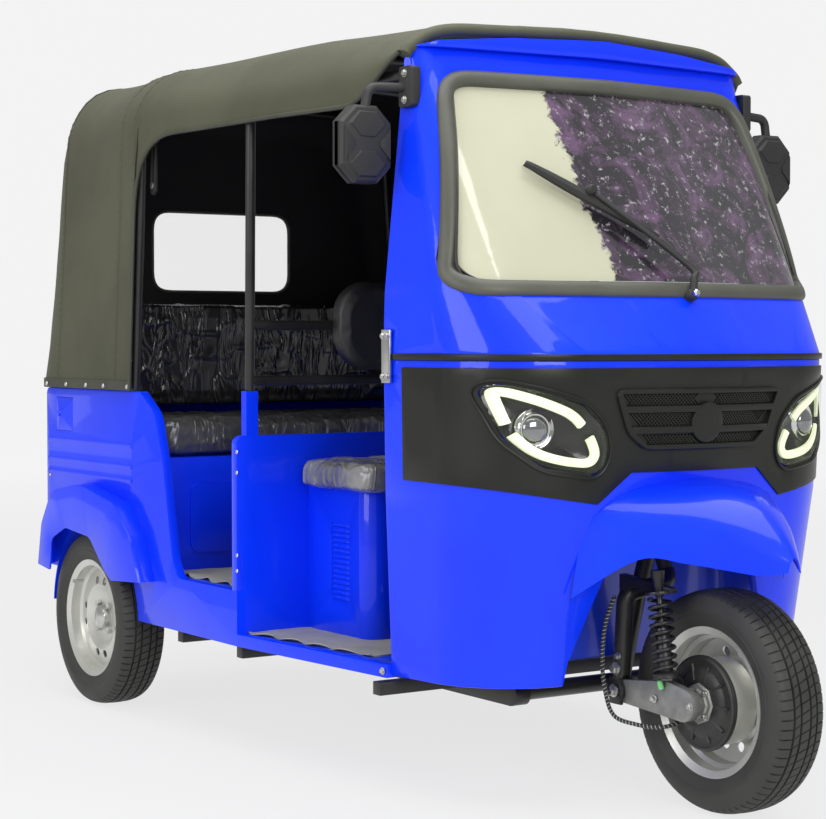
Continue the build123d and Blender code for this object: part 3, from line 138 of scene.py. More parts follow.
def make_creases():
    """Creases of clinging plastic film: a normal and a mask of painted highlights along the ridges."""
    tree, given, result = new_group(
        "film_creases", [("Scale", "NodeSocketFloat", 9.0), ("Depth", "NodeSocketFloat", 0.01)],
        [("Normal", "NodeSocketVector"), ("Ridge Highlight", "NodeSocketFloat")],
    )
    place = tree.nodes.new("ShaderNodeTexCoord").outputs["Object"]
    slanted = add(tree, "ShaderNodeMapping", Vector=place, Rotation=(0.55, 0.35, 0.5), Scale=(1.7, 1.0, 0.42))
    drawn = slanted.outputs[0]
    wander = add(tree, "ShaderNodeTexNoise", Vector=drawn, Scale=given.outputs["Scale"], Detail=3.0,
                 Roughness=0.5, Distortion=0.9)
    near = maths(tree, "ABSOLUTE", maths(tree, "SUBTRACT", wander.outputs[0], 0.5))
    # narrow line along each crease, where the highlight is painted
    ridge = spread(tree, near, 0.0, 0.016, 1.0, 0.0)
    swell = spread(tree, near, 0.0, 0.10, 1.0, 0.0)
    bump = add(tree, "ShaderNodeBump", Distance=given.outputs["Depth"], Height=swell)
    second = add(tree, "ShaderNodeTexNoise", Vector=drawn, Scale=24.0, Detail=3.0, Distortion=0.6)
    gate = spread(tree, second.outputs[0], 0.50, 0.68)
    tree.links.new(bump.outputs[0], result.inputs["Normal"])
    tree.links.new(maths(tree, "MULTIPLY", maths(tree, "POWER", ridge, 3.0), gate), result.inputs["Ridge Highlight"])
    return tree


GRAIN = make_grain()
CREASES = make_creases()


def surface(name, colour, shade, roughness, grain=(300, 0.0002), patch=3.0, stretch=(1, 1, 1), **fixed):
    """Material whose colour and roughness wander between two values over soft patches.

    grain is the scale and depth of the fine bump, patch the scale of the patches, and fixed what the
    shader's own sockets hold all over.
    """
    material = bpy.data.materials.new(name)
    material.use_nodes = True
    tree = material.node_tree
    shader = tree.nodes["Principled BSDF"]
    detail = tree.nodes.new("ShaderNodeGroup")
    detail.node_tree = GRAIN
    detail.inputs["Grain Scale"].default_value = grain[0]
    detail.inputs["Grain Depth"].default_value = grain[1]
    detail.inputs["Patch Scale"].default_value = patch
    detail.inputs["Stretch"].default_value = stretch
    patches = detail.outputs["Patch"]
    tree.links.new(blended(tree, patches, colour + (1,), shade + (1,)), shader.inputs["Base Color"])
    tree.links.new(spread(tree, patches, 0, 1, *roughness), shader.inputs["Roughness"])
    tree.links.new(detail.outputs["Normal"], shader.inputs["Normal"])
    for key, value in fixed.items():
        shader.inputs[key.replace("_", " ")].default_value = value
    material.diffuse_color = colour + (1,)
    return material


def shader_of(material):
    return material.node_tree.nodes["Principled BSDF"]


BLUE = surface(
    "blue_paint", (0.001, 0.040, 0.95), (0.001, 0.028, 0.86), (0.34, 0.42), (140, 0.00012), 2.0,
    Coat_Weight=0.45, Coat_Roughness=0.06, Specular_IOR_Level=0.15)
# darker copy of the body blue for the floor and the wheel housing: painted shade of these recesses
SHADED_BLUE = surface(
    "shaded_blue_paint", (0.001, 0.045, 0.70), (0.001, 0.030, 0.56), (0.35, 0.45), (120, 0.0002), 3.0,
    Coat_Weight=0.6, Coat_Roughness=0.12)
SATIN = surface(
    "satin_black", (0.011, 0.012, 0.009), (0.016, 0.017, 0.013), (0.34, 0.42), (900, 0.00008), 4.0,
    Specular_IOR_Level=0.25)
MATTE = surface("matte_black", (0.012,) * 3, (0.018, 0.018, 0.017), (0.5, 0.6), (1100, 0.00015), 6.0)
FRAME = surface("frame_black", (0.010,) * 3, (0.016, 0.016, 0.015), (0.32, 0.45), (500, 0.00015), 8.0)
RUBBER = surface("seal_rubber", (0.060, 0.062, 0.048), (0.075, 0.077, 0.060), (0.42, 0.5), (700, 0.0001), 9.0)
TYRE = surface("tyre_rubber", (0.024, 0.024, 0.022), (0.036, 0.036, 0.032), (0.55, 0.7), (600, 0.0002), 12.0)
VINYL = surface(
    "canopy_vinyl", (0.070, 0.073, 0.042), (0.056, 0.058, 0.034), (0.55, 0.68), (1500, 0.00025), 2.5,
    Sheen_Weight=0.06, Sheen_Roughness=0.4, Specular_IOR_Level=0.3)
HEM = surface("canopy_hem", (0.045, 0.047, 0.030), (0.036, 0.038, 0.024), (0.5, 0.6), (1500, 0.00025), 5.0)
LINING = surface("black_lining", (0.006,) * 3, (0.010,) * 3, (0.7, 0.8), (1200, 0.0003), 3.0)
THREAD = surface("thread", (0.05, 0.05, 0.04), (0.03, 0.03, 0.025), (0.7, 0.8), (3000, 0.0001), 20.0)
SEAT = surface("seat_vinyl", (0.010, 0.010, 0.011), (0.016, 0.016, 0.017), (0.38, 0.46), (800, 0.0003), 5.0)
MAT = surface("floor_mat", (0.34, 0.33, 0.27), (0.25, 0.25, 0.21), (0.6, 0.7), (260, 0.0012), 7.0)
SILVER = surface(
    "rim_silver", (0.66, 0.66, 0.62), (0.58, 0.58, 0.54), (0.28, 0.36), (700, 0.0001), 8.0, Metallic=0.65)
STEEL = surface(
    "steel", (0.62, 0.62, 0.60), (0.50, 0.50, 0.48), (0.25, 0.4), (300, 0.0001), 10.0, Metallic=1.0)
CAST = surface(
    "cast_metal", (0.34, 0.34, 0.32), (0.24, 0.24, 0.23), (0.45, 0.6), (420, 0.0007), 22.0, Metallic=0.8)
CHROME = surface("chrome", (0.80,) * 3, (0.72,) * 3, (0.06, 0.12), (400, 0.00002), 5.0, Metallic=1.0)
GREEN = surface("green_cap", (0.20, 0.62, 0.22), (0.16, 0.52, 0.18), (0.4, 0.5), (600, 0.0001), 8.0)
WHITE = surface("hose_winding", (0.42, 0.42, 0.40), (0.34, 0.34, 0.32), (0.5, 0.6), (600, 0.0001), 8.0)
RED = surface(
    "tail_lens", (0.42, 0.012, 0.012), (0.36, 0.010, 0.010), (0.12, 0.2), (160, 0.0006), 6.0, (1, 1, 3),
    Coat_Weight=1.0)
BOWL = surface("lamp_bowl", (0.012, 0.013, 0.012), (0.030, 0.031, 0.028), (0.14, 0.24), (60, 0.0008), 9.0)
HUB_BLACK = surface("drum_black", (0.012,) * 3, (0.022, 0.021, 0.019), (0.34, 0.5), (300, 0.0004), 14.0)
PROJECTOR = surface(
    "projector_glass", (0.30, 0.31, 0.32), (0.22, 0.23, 0.24), (0.03, 0.06), (60, 0.0001), 20.0,
    Metallic=0.7, Coat_Weight=1.0, Coat_Roughness=0.02)


def make_led():
    material = surface("led_band", (0.86, 0.93, 0.66), (0.80, 0.88, 0.60), (0.25, 0.3), (200, 0.0002), 30.0)
    shader = shader_of(material)
    shader.inputs["Emission Color"].default_value = (0.86, 0.96, 0.62, 1)
    shader.inputs["Emission Strength"].default_value = 0.45
    return material


def make_clear(name, tint, alpha, roughness=0.03):
    material = surface(name, tint, tint, (roughness, roughness + 0.03), (90, 0.00005), 4.0)
    shader = shader_of(material)
    shader.inputs["Alpha"].default_value = alpha
    shader.inputs["Specular IOR Level"].default_value = 0.6
    return material


def make_wrapped(name, dark, pale, amount):
    """Black vinyl under creased clear film, with painted highlights along the creases."""
    material = surface(name, (dark,) * 3, (pale,) * 3, (0.22, 0.32), Coat_Weight=0.35, Coat_Roughness=0.12)
    tree, shader = material.node_tree, shader_of(material)
    folds = tree.nodes.new("ShaderNodeGroup")
    folds.node_tree = CREASES
    folds.inputs["Scale"].default_value = 9.0
    folds.inputs["Depth"].default_value = 0.003
    base = shader.inputs["Base Color"].links[0].from_socket
    # painted highlight: pale grey blended into the colour along the crease ridges
    share = maths(tree, "MULTIPLY", folds.outputs["Ridge Highlight"], amount)
    tree.links.new(blended(tree, share, base, (0.42, 0.43, 0.41, 1)), shader.inputs["Base Color"])
    tree.links.new(folds.outputs["Normal"], shader.inputs["Normal"])
    tree.links.new(folds.outputs["Normal"], shader.inputs["Coat Normal"])
    return material


def make_windshield():
    """Screen with a painted reflection: pale at the right side, dark and mottled beyond a ragged upright
    edge.
    """
    material = surface("windshield", (0.52, 0.52, 0.39), (0.46, 0.46, 0.34), (0.06, 0.1), (20, 0.0006), 1.6,
                       Coat_Weight=1.0, Coat_Roughness=0.02)
    tree, shader = material.node_tree, shader_of(material)
    place = tree.nodes.new("ShaderNodeTexCoord").outputs["Object"]
    ragged = add(tree, "ShaderNodeTexNoise", Vector=place, Scale=26.0, Detail=6.0, Roughness=0.7,
                 Distortion=0.5)
    axes = add(tree, "ShaderNodeSeparateXYZ", Vector=place)
    line = maths(tree, "ADD", axes.outputs[0], maths(tree, "MULTIPLY", axes.outputs[2], 0.07))
    edge = maths(tree, "ADD", line, spread(tree, ragged.outputs[0], 0.3, 0.7, -0.022, 0.022))
    dark = spread(tree, edge, -0.077, -0.066)
    # painted reflection: dark purple blots with pale flecks beyond the ragged edge
    reflected_blots = add(tree, "ShaderNodeTexNoise", Vector=place, Scale=8.0, Detail=8.0, Roughness=0.72,
                Distortion=1.2)
    share = spread(tree, reflected_blots.outputs[0], 0.45, 0.62)
    reflected_purple = blended(tree, share, (0.020, 0.018, 0.022, 1), (0.11, 0.060, 0.12, 1))
    reflected_flecks = add(tree, "ShaderNodeTexNoise", Vector=place, Scale=55.0, Detail=6.0, Roughness=0.75)
    painted_reflection = blended(tree, spread(tree, reflected_flecks.outputs[0], 0.57, 0.68), reflected_purple, (0.42, 0.40, 0.44, 1))
    pale = shader.inputs["Base Color"].links[0].from_socket
    tree.links.new(blended(tree, dark, pale, painted_reflection), shader.inputs["Base Color"])
    return material


LED = make_led()
CLEAR = make_clear("clear_cover", (0.05, 0.055, 0.05), 0.10)
REAR_FILM = make_clear("rear_window_film", (0.93, 0.94, 0.94), 0.06, 0.05)
# The same black vinyl under film in three copies: the cushions, which face up, are painted lighter as a
# painted reflection of the light above on the film.
WRAPPED = make_wrapped("wrapped_vinyl", 0.009, 0.018, 0.45)
GREY_WRAPPED = make_wrapped("wrapped_cushion", 0.030, 0.085, 0.7)
PALE_WRAPPED = make_wrapped("wrapped_seat_top", 0.10, 0.30, 0.9)
# screen whose colour is a painted reflection
REFLECTION_PAINTED_SCREEN = make_windshield()


# Mesh building

class Form:
    """Gathers the points and faces of one piece."""

    def __init__(self):
        self.points, self.faces, self.slots = [], [], []

    def grid(self, rows, close_rows=False, close_columns=False, slot=0):
        """Faces between neighbouring rows of equally many points."""
        start, width = len(self.points), len(rows[0])
        for row in rows:
            self.points.extend(row)
        for i in range(len(rows) if close_rows else len(rows) - 1):
            for j in range(width if close_columns else width - 1):
                a, b = start + i * width, start + (i + 1) % len(rows) * width
                k = (j + 1) % width
                self.faces.append((a + j, a + k, b + k, b + j))
                self.slots.append(slot)

    def fan(self, ring, slot=0, flip=False):
        start = len(self.points)
        self.points.extend(ring)
        face = list(range(start, start + len(ring)))
        self.faces.append(tuple(reversed(face)) if flip else tuple(face))
        self.slots.append(slot)

    def tube(self, path, radius, sides, closed=False, slot=0):
        """Round bar along a path; radius is a number or one number for each point."""
        radii = radius if isinstance(radius, (list, tuple)) else [radius] * len(path)
        frames = frames_along(path, closed)
        rows = []
        for point, (side, up), r in zip(path, frames, radii):
            rows.append([point + side * (cos(2 * pi * k / sides) * r) + up * (sin(2 * pi * k / sides) * r)
                         for k in range(sides)])
        self.grid(rows, close_rows=closed, close_columns=True, slot=slot)
        if not closed:
            self.fan(rows[0], slot, flip=True)
            self.fan(rows[-1], slot)

    def band(self, path, normals, profile, closed=False):
        """Profile of (across, out) pairs swept along a path on a surface."""
        rows = []
        count = len(path)
        for i, (point, normal) in enumerate(zip(path, normals)):
            ahead = path[(i + 1) % count] if closed or i + 1 < count else point
            behind = path[i - 1] if closed or i else point
            across = (ahead - behind).normalized().cross(normal).normalized()
            rows.append([point + across * a + normal * b for a, b in profile])
        self.grid(rows, close_rows=closed, close_columns=True)
        if not closed:
            self.fan(rows[0], flip=True)
            self.fan(rows[-1])

    def turned(self, profile, axis_point, axis, sides, slot=0):
        """Profile of (radius, distance along the axis) pairs turned round an axis."""
        axis = axis.normalized()
        side = axis.orthogonal().normalized()
        up = axis.cross(side)
        rows = []
        for radius, along in profile:
            rows.append([axis_point + axis * along + side * (cos(2 * pi * k / sides) * radius)
                         + up * (sin(2 * pi * k / sides) * radius) for k in range(sides)])
        self.grid(rows, close_columns=True, slot=slot)

    def piece(self, name, materials, body, sharp, replaces=()):
        mesh = bpy.data.meshes.new(name)
        mesh.from_pydata([tuple(p) for p in self.points], [], self.faces)
        for material in materials:
            mesh.materials.append(material)
        mesh.polygons.foreach_set("material_index", self.slots)
        mesh.validate()
        obj = bpy.data.objects.new(name, mesh)
        bpy.context.scene.collection.objects.link(obj)
        tidy(obj, sharp)
        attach(obj, body)
        if replaces:
            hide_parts(*replaces)
        return obj


def tidy(obj, sharp):
    """Merges doubled points, turns faces outwards and shades the piece smooth."""
    work = bmesh.new()
    work.from_mesh(obj.data)
    bmesh.ops.remove_doubles(work, verts=work.verts, dist=1e-6)
    bmesh.ops.dissolve_degenerate(work, edges=work.edges, dist=1e-7)
    bmesh.ops.recalc_face_normals(work, faces=work.faces)
    work.to_mesh(obj.data)
    work.free()
    obj.data.shade_smooth()
    obj.data.set_sharp_from_angle(angle=radians(sharp))


def frames_along(path, closed=False):
    """Side and up directions at each point, carried along without twisting."""
    count = len(path)
    frames = []
    side = None
    for i in range(count):
        ahead = path[(i + 1) % count] if closed or i + 1 < count else path[i]
        behind = path[i - 1] if closed or i else path[i]
        run = (ahead - behind).normalized()
        if side is None:
            side = run.orthogonal().normalized()
        side = (side - run * side.dot(run)).normalized()
        frames.append((side, run.cross(side)))
    return frames


def through(points, steps):
    """Smooth path through the given points."""
    last = len(points) - 1
    made = []
    for i in range(last):
        p1, p2 = points[i], points[i + 1]
        p0 = points[i - 1] if i else p1
        p3 = points[i + 2] if i + 2 <= last else p2
        for k in range(steps):
            t = k / steps
            made.append(0.5 * ((2 * p1) + (p2 - p0) * t + (2 * p0 - 5 * p1 + 4 * p2 - p3) * t * t
                               + (3 * p1 - p0 - 3 * p2 + p3) * t ** 3))
    made.append(points[-1])
    return made


def rounded(points, radius, closed, steps):
    """Straight runs joined by curved corners that start this far from each corner."""
    count = len(points)
    made = []
    for i, point in enumerate(points):
        if not closed and i in (0, count - 1):
            made.append(point)
            continue
        before, after = points[i - 1], points[(i + 1) % count]
        r = radius[i] if isinstance(radius, (list, tuple)) else radius
        back = min(r, (before - point).length * 0.48)
        ahead = min(r, (after - point).length * 0.48)
        start = point + (before - point).normalized() * back
        end = point + (after - point).normalized() * ahead
        for k in range(steps + 1):
            t = k / steps
            made.append(start * (1 - t) ** 2 + point * 2 * t * (1 - t) + end * t * t)
    return made


def divided(path, step, closed=False):
    """The path with points no further apart than step."""
    made = []
    count = len(path)
    for i in range(count if closed else count - 1):
        a, b = path[i], path[(i + 1) % count]
        parts = max(1, int((b - a).length / step + 0.5))
        made.extend(a.lerp(b, k / parts) for k in range(parts))
    if not closed:
        made.append(path[-1])
    return made


def tree_of(node):
    mesh = NODES[node].data
    return BVHTree.FromPolygons([v.co for v in mesh.vertices], [tuple(p.vertices) for p in mesh.polygons])


# Layers of the front, each with how far it stands out from the cowl's own surface
FRONT_LAYERS = [(tree_of(name), proud) for name, proud in (
    ("windshield_seal", 0.008), ("windshield_glass", -0.006), ("cowl_upper", 0), ("lamp_mask", 0.005),
    ("headlamp_right", 0.005), ("headlamp_left", 0.005), ("cowl_lower", 0))]


def on_front(x, z, lift=0.0):
    """Point over the cowl, seen straight from the front, and its outward direction."""
    best = None
    for aside, above in ((0, 0), (2, 0), (-2, 0), (0, 2), (0, -2), (5, 0), (-5, 0), (0, 6), (0, -6)):
        start = Vector(((x + aside) / 1000, -4, (z + above) / 1000))
        for tree, proud in FRONT_LAYERS:
            place, normal = tree.ray_cast(start, Vector((0, 1, 0)))[:2]
            if place is not None and place.y < -0.45 and (best is None or place.y < best[0].y):
                best = (Vector((x / 1000, place.y, z / 1000)), normal, proud)
        if best:
            break
    place, normal, proud = best
    normal = -normal if normal.y > 0 else normal
    return place + normal * (lift / 1000 - proud), normal


def smoothed(values, turns, closed):
    """Directions evened out along a path."""
    count = len(values)
    before = [i - 1 if closed or i else i for i in range(count)]
    after = [(i + 1) % count if closed or i + 1 < count else i for i in range(count)]
    for _ in range(turns):
        values = [(values[i] * 2 + values[before[i]] + values[after[i]]).normalized() for i in range(count)]
    return values


def evened(points, turns, closed):
    """Points evened out along a path; the ends of an open path stay."""
    count = len(points)
    for _ in range(turns):
        points = [
            points[i] if not closed and i in (0, count - 1) else
            (points[i] * 2 + points[i - 1] + points[(i + 1) % count]) / 4 for i in range(count)]
    return points


def over_front(flat, lift, closed, turns):
    """Path over the cowl from (x, z) pairs, with its outward directions."""
    found = [on_front(p.x, p.y, 0) for p in flat]
    places = evened([place for place, normal in found], turns, closed)
    normals = smoothed([normal for place, normal in found], turns + 3, closed)
    return [place + normal * (lift / 1000) for place, normal in zip(places, normals)], normals


def flat_path(pairs, radius, step, closed=True, steps=6):
    """Rounded path in the front view, in millimetres."""
    corners = [Vector((x, z, 0)) for x, z in pairs]
    return divided(rounded(corners, radius, closed, steps), step, closed)


SOFTENED_ABOVE, SHARP_ABOVE = radians(40), radians(32)


def dress(node, material, bevel):
    """Shades a CAD node smooth up to its real edges and gives it its material."""
    obj = NODES[node]
    obj.data.materials.clear()
    obj.data.materials.append(material)
    obj.data.polygons.foreach_set("use_smooth", [True] * len(obj.data.polygons))
    weld = obj.modifiers.new("weld", "WELD")
    weld.merge_threshold = 2e-5
    if bevel:
        edge = obj.modifiers.new("bevel", "BEVEL")
        edge.width = bevel / 1000
        edge.segments = 2
        edge.limit_method = "ANGLE"
        edge.angle_limit = SOFTENED_ABOVE
    split = obj.modifiers.new("split", "EDGE_SPLIT")
    split.split_angle = SHARP_ABOVE


def make_scatter():
    """Copies of one object on every point, turned to face along the point's own direction."""
    tree = bpy.data.node_groups.new("scatter", "GeometryNodeTree")
    tree.interface.new_socket("Geometry", in_out="OUTPUT", socket_type="NodeSocketGeometry")
    tree.interface.new_socket("Geometry", in_out="INPUT", socket_type="NodeSocketGeometry")
    tree.interface.new_socket("Unit", in_out="INPUT", socket_type="NodeSocketObject")
    tree.interface.new_socket("Finish", in_out="INPUT", socket_type="NodeSocketMaterial")
    given, result = tree.nodes.new("NodeGroupInput"), tree.nodes.new("NodeGroupOutput")
    points = add(tree, "GeometryNodeMeshToPoints", Mesh=given.outputs["Geometry"])
    unit = add(tree, "GeometryNodeObjectInfo", Object=given.outputs["Unit"])
    facing = add(tree, "GeometryNodeInputNamedAttribute", {"data_type": "FLOAT_VECTOR"}, Name="facing")
    turn = add(tree, "FunctionNodeAlignRotationToVector", {"axis": "Z"}, Vector=facing.outputs[0])
    placed = add(tree, "GeometryNodeInstanceOnPoints", Points=points.outputs[0],
                 Instance=unit.outputs["Geometry"], Rotation=turn.outputs[0])
    real = add(tree, "GeometryNodeRealizeInstances", Geometry=placed.outputs[0])
    finish = add(tree, "GeometryNodeSetMaterial", Geometry=real.outputs[0], Material=given.outputs["Finish"])
    tree.links.new(finish.outputs[0], result.inputs[0])
    return tree


SCATTER = make_scatter()


def bake(obj):
    """Turns the piece's modifiers into its own mesh."""
    graph = bpy.context.evaluated_depsgraph_get()
    baked = bpy.data.meshes.new_from_object(obj.evaluated_get(graph))
    obj.modifiers.clear()
    obj.data = baked


def thicken(obj, thickness, offset=-1, inner_material=0):
    """Gives a skin its wall."""
    wall = obj.modifiers.new("wall", "SOLIDIFY")
    wall.thickness = thickness
    wall.offset = offset
    wall.material_offset = inner_material
    bake(obj)


SMALL_SHARP = 38
BOLT_SIDES, WASHER_SHARE = 6, 1.35


def scatter(name, unit, places, material, body):
    """Copies of a small form at (point, direction) places, as one piece."""
    mesh = bpy.data.meshes.new(name)
    mesh.from_pydata([tuple(point) for point, facing in places], [], [])
    attribute = mesh.attributes.new("facing", "FLOAT_VECTOR", "POINT")
    attribute.data.foreach_set("vector", [c for point, facing in places for c in facing])
    obj = bpy.data.objects.new(name, mesh)
    bpy.context.scene.collection.objects.link(obj)
    source = bpy.data.meshes.new(name + "_unit")
    source.from_pydata([tuple(p) for p in unit.points], [], unit.faces)
    pattern = bpy.data.objects.new(name + "_unit", source)
    bpy.context.scene.collection.objects.link(pattern)
    modifier = obj.modifiers.new("scatter", "NODES")
    modifier.node_group = SCATTER
    names = {item.name: item.identifier for item in SCATTER.interface.items_tree if item.in_out == "INPUT"}
    modifier[names["Unit"]] = pattern
    modifier[names["Finish"]] = material
    bpy.context.view_layer.update()
    bake(obj)
    bpy.data.objects.remove(pattern)
    if not obj.data.materials:
        obj.data.materials.append(material)
    tidy(obj, SMALL_SHARP)
    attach(obj, body)


def bolt_form(radius, height):
    """Bolt head on its washer, standing on the ground of its own axes."""
    form = Form()
    r, h = radius / 1000, height / 1000
    zero, up = Vector((0, 0, 0)), Vector((0, 0, 1))
    rim = r * WASHER_SHARE
    form.turned([(0.0001, 0), (rim, 0), (rim, h * 0.2), (r * 0.9, h * 0.22)], zero, up, 20)
    form.turned([(r, h * 0.2), (r, h * 0.85), (r * 0.85, h), (0.0001, h)], zero, up, BOLT_SIDES)
    return form


def dome_form(radius, height):
    form = Form()
    profile = [(radius / 1000 * cos(a * pi / 10), height / 1000 * sin(a * pi / 10)) for a in range(5)]
    form.turned([(0.0001, 0)] + profile + [(0.0001, height / 1000)], Vector((0, 0, 0)), Vector((0, 0, 1)), 16)
    return form


# CAD nodes that keep their shape

DRESSED = [
    # material, bevel in millimetres, nodes
    (BLUE, 2.5, ["cowl_lower", "cowl_upper", "header", "side_panel_right", "side_panel_left", "access_flap",
                 "rear_fender_right", "rear_fender_left", "rear_panel"]),
    (BLUE, 3, ["bulkhead", "seat_box", "passenger_base"]),
    # floor and wheel housing in the darker blue with painted shade
    (SHADED_BLUE, 1, ["floor", "wheel_housing"]),
    (SATIN, 2, ["belt_strip", "lamp_mask", "dash", "grille"]),
    (FRAME, 1, ["canopy_frame", "chassis", "fork", "steering_column", "rear_axle", "leaf_springs", "shock"]),
    (MATTE, 3, ["mirrors"]),
    (MATTE, 2, ["grab_straps"]),
    (CAST, 1.5, ["link_arm", "engine_block"]),
    (HUB_BLACK, 1.5, ["brake_plate"]),
    (STEEL, 0.8, ["hinge_plates", "drive_shaft", "silencer"]),
    (SILVER, 0, ["front_rim", "rear_right_rim", "rear_left_rim"]),
    (REFLECTION_PAINTED_SCREEN, 0, ["windshield_glass"]),
    (REAR_FILM, 0, ["rear_window"]),
    (RED, 4, ["tail_lamps"]),
]
for material, bevel, nodes in DRESSED:
    for node in nodes:
        dress(node, material, bevel)


# Front fender: the given stations run through a smooth curve, the crease stays sharp

FENDER = [
    # distance behind the axle; half width and level of hem, crease and shoulder; level of the crest
    (150, 318, 478, 285, 662, 228, 716, 742),
    (40, 222, 566, 215, 622, 165, 698, 732),
    (-40, 155, 561, 150, 594, 122, 678, 718),
    (-110, 103, 550, 100, 572, 82, 644, 688),
    (-170, 57, 541, 54, 553, 42, 600, 638),
    (-209, 18, 548, 16, 556, 12, 572, 582),
]
FENDER_BEND, FENDER_SHEET = 200, 0.004


def make_fender():
    rows = []
    tracks = [[], [], [], []]
    for back, hem_x, hem_z, crease_x, crease_z, shoulder_x, shoulder_z, crest_z in FENDER:
        across = (hem_x, hem_z), (crease_x, crease_z), (shoulder_x, shoulder_z), (0, crest_z)
        for track, (x, z) in zip(tracks, across):
            track.append(Vector((x, back, z)))
    tracks = [through(track, 7) for track in tracks]
    for hem, crease, shoulder, crest in zip(*tracks):
        half = [hem.lerp(crease, k / 3) for k in range(3)] + [crease]
        far_shoulder = Vector((-shoulder.x, shoulder.y, shoulder.z))
        bend = rounded([crease, shoulder, crest, far_shoulder], FENDER_BEND, False, 8)
        bend = [p for p in bend[1:] if p.x > 0.5]
        half += bend + [Vector((0, crest.y, max(p.z for p in bend) + 1))]
        whole = [Vector((-p.x, p.y, p.z)) for p in half] + list(reversed(half[:-1]))
        rows.append([at(p.x, p.y, p.z) for p in whole])
    form = Form()
    form.grid(rows)
    obj = form.piece("front_fender_skin", [BLUE], "root", 40, ["front_fender"])
    thicken(obj, FENDER_SHEET)
    tidy(obj, 32)


make_fender()


# Windshield seal

SCREEN = [(534, 1156), (436, 1640)]
SCREEN_CORNER = 62
SEAL_HALF, SEAL_HIGH, SEAL_DEEP = 0.0195, 0.014, 0.012


def screen_outline(share=1.0, inwards=0):
    """Corners of the screen in the front view, at a share of their width and this far inwards in height."""
    (low_x, low_z), (high_x, high_z) = SCREEN
    right = [(-low_x * share, low_z + inwards), (-high_x * share, high_z - inwards)]
    return right + [(-x, z) for x, z in reversed(right)]


def make_seal():
    path, normals = over_front(flat_path(screen_outline(), SCREEN_CORNER, 12, True, 8), 0, True, 4)
    crown = [(SEAL_HALF, 0)] + [(SEAL_HALF * cos(radians(d)), SEAL_HIGH * sin(radians(d)) ** 0.75)
                                for d in range(15, 180, 15)] + [(-SEAL_HALF, 0)]
    form = Form()
    form.band(path, normals, [(-SEAL_HALF, -SEAL_DEEP), (SEAL_HALF, -SEAL_DEEP)] + crown, True)
    form.piece("screen_seal", [RUBBER], "root", 50, ["windshield_seal"])
    inner = Form()
    path, normals = over_front(flat_path(screen_outline(0.972, 9), 52, 14, True, 8), 1, True, 4)
    inner.band(path, normals, [(-0.003, 0), (0.003, 0), (0.002, 0.006), (-0.002, 0.006)], True)
    inner.piece("screen_seal_insert", [MATTE], "root", 50)


make_seal()


# Canopy: one sheet from the front edge to the tail, on the stations of the solid

CANOPY = [
    # distance behind the front axle; half width and level of hem, side and roof edge; level of the crown
    (480, 513, 1700, 486, 1742, 414, 1758, 1772),
    (560, 545, 1560, 520, 1690, 425, 1766, 1782),
    (1000, 588, 1500, 570, 1660, 440, 1788, 1802),
    (1750, 612, 900, 585, 1690, 478, 1790, 1808),
    (2225, 612, 900, 572, 1662, 482, 1786, 1800),
    (2300, 612, 900, 552, 1620, 446, 1757, 1772),
    (2340, 603, 900, 505, 1560, 385, 1680, 1695),
]
HOOPS = (480, 1162, 1750, 2230, 2340)
QUARTER_BACK = 1742
TAIL_BACK = 2340
HEM_Z = 902
ARCH = [(538, 1694), (665, 1582), (QUARTER_BACK, 1592), (QUARTER_BACK, HEM_Z)]
FRONT_CROWN, MIDDLE_CROWN, REAR_CROWN = 482, 1400, 1860


def canopy_station(back):
    back = min(max(back, CANOPY[0][0]), CANOPY[-1][0])
    for ahead, behind in zip(CANOPY, CANOPY[1:]):
        if back <= behind[0]:
            share = (back - ahead[0]) / (behind[0] - ahead[0])
            return [a + (b - a) * share for a, b in zip(ahead, behind)]


def lengths_along(line):
    """Distance travelled from the start to each point of a line."""
    lengths = [0]
    for a, b in zip(line, line[1:]):
        lengths.append(lengths[-1] + (b - a).length)
    return lengths


HALF_STEPS = 34


def canopy_profile(back, low_z):
    """Half cross-section from the hem level up to the crown, as (x, z) at equal steps."""
    hem_x, hem_z, side_x, side_z, edge_x, edge_z, crown = canopy_station(back)[1:]
    if back < 620:
        low_z = max(low_z, hem_z)
    foot_x = hem_x + (side_x - hem_x) * (low_z - hem_z) / (side_z - hem_z)
    corners = [(foot_x, low_z), (side_x, side_z), (edge_x, edge_z), (0, crown), (-edge_x, edge_z)]
    radius = 26 if back < 520 else 70
    line = rounded([Vector((x, z, 0)) for x, z in corners], [0, radius, radius * 1.3, 160, 0], False, 7)
    line = [p for p in line if p.x >= -0.5]
    line[-1].x = 0
    lengths = lengths_along(line)
    made = []
    k = 0
    for i in range(HALF_STEPS + 1):
        want = lengths[-1] * i / HALF_STEPS
        while k < len(line) - 2 and lengths[k + 1] < want:
            k += 1
        run = lengths[k + 1] - lengths[k]
        made.append(line[k].lerp(line[k + 1], (want - lengths[k]) / run if run else 0))
    return made


def canopy_sag(back, height_share):
    """How far the cloth dips between the hoops, in millimetres."""
    for a, b in zip(HOOPS, HOOPS[1:]):
        if a <= back <= b:
            bow = sin(pi * (back - a) / (b - a)) ** 2
            return bow * (9 if b - a > 400 else 3) * height_share
    return 0


def ripple(x, back, z):
    place = Vector((x / 210, back / 330, z / 120))
    fine = Vector((x / 60, back / 90, z / 260))
    return noise.noise(place) * 2.4 + noise.noise(fine) * 0.8


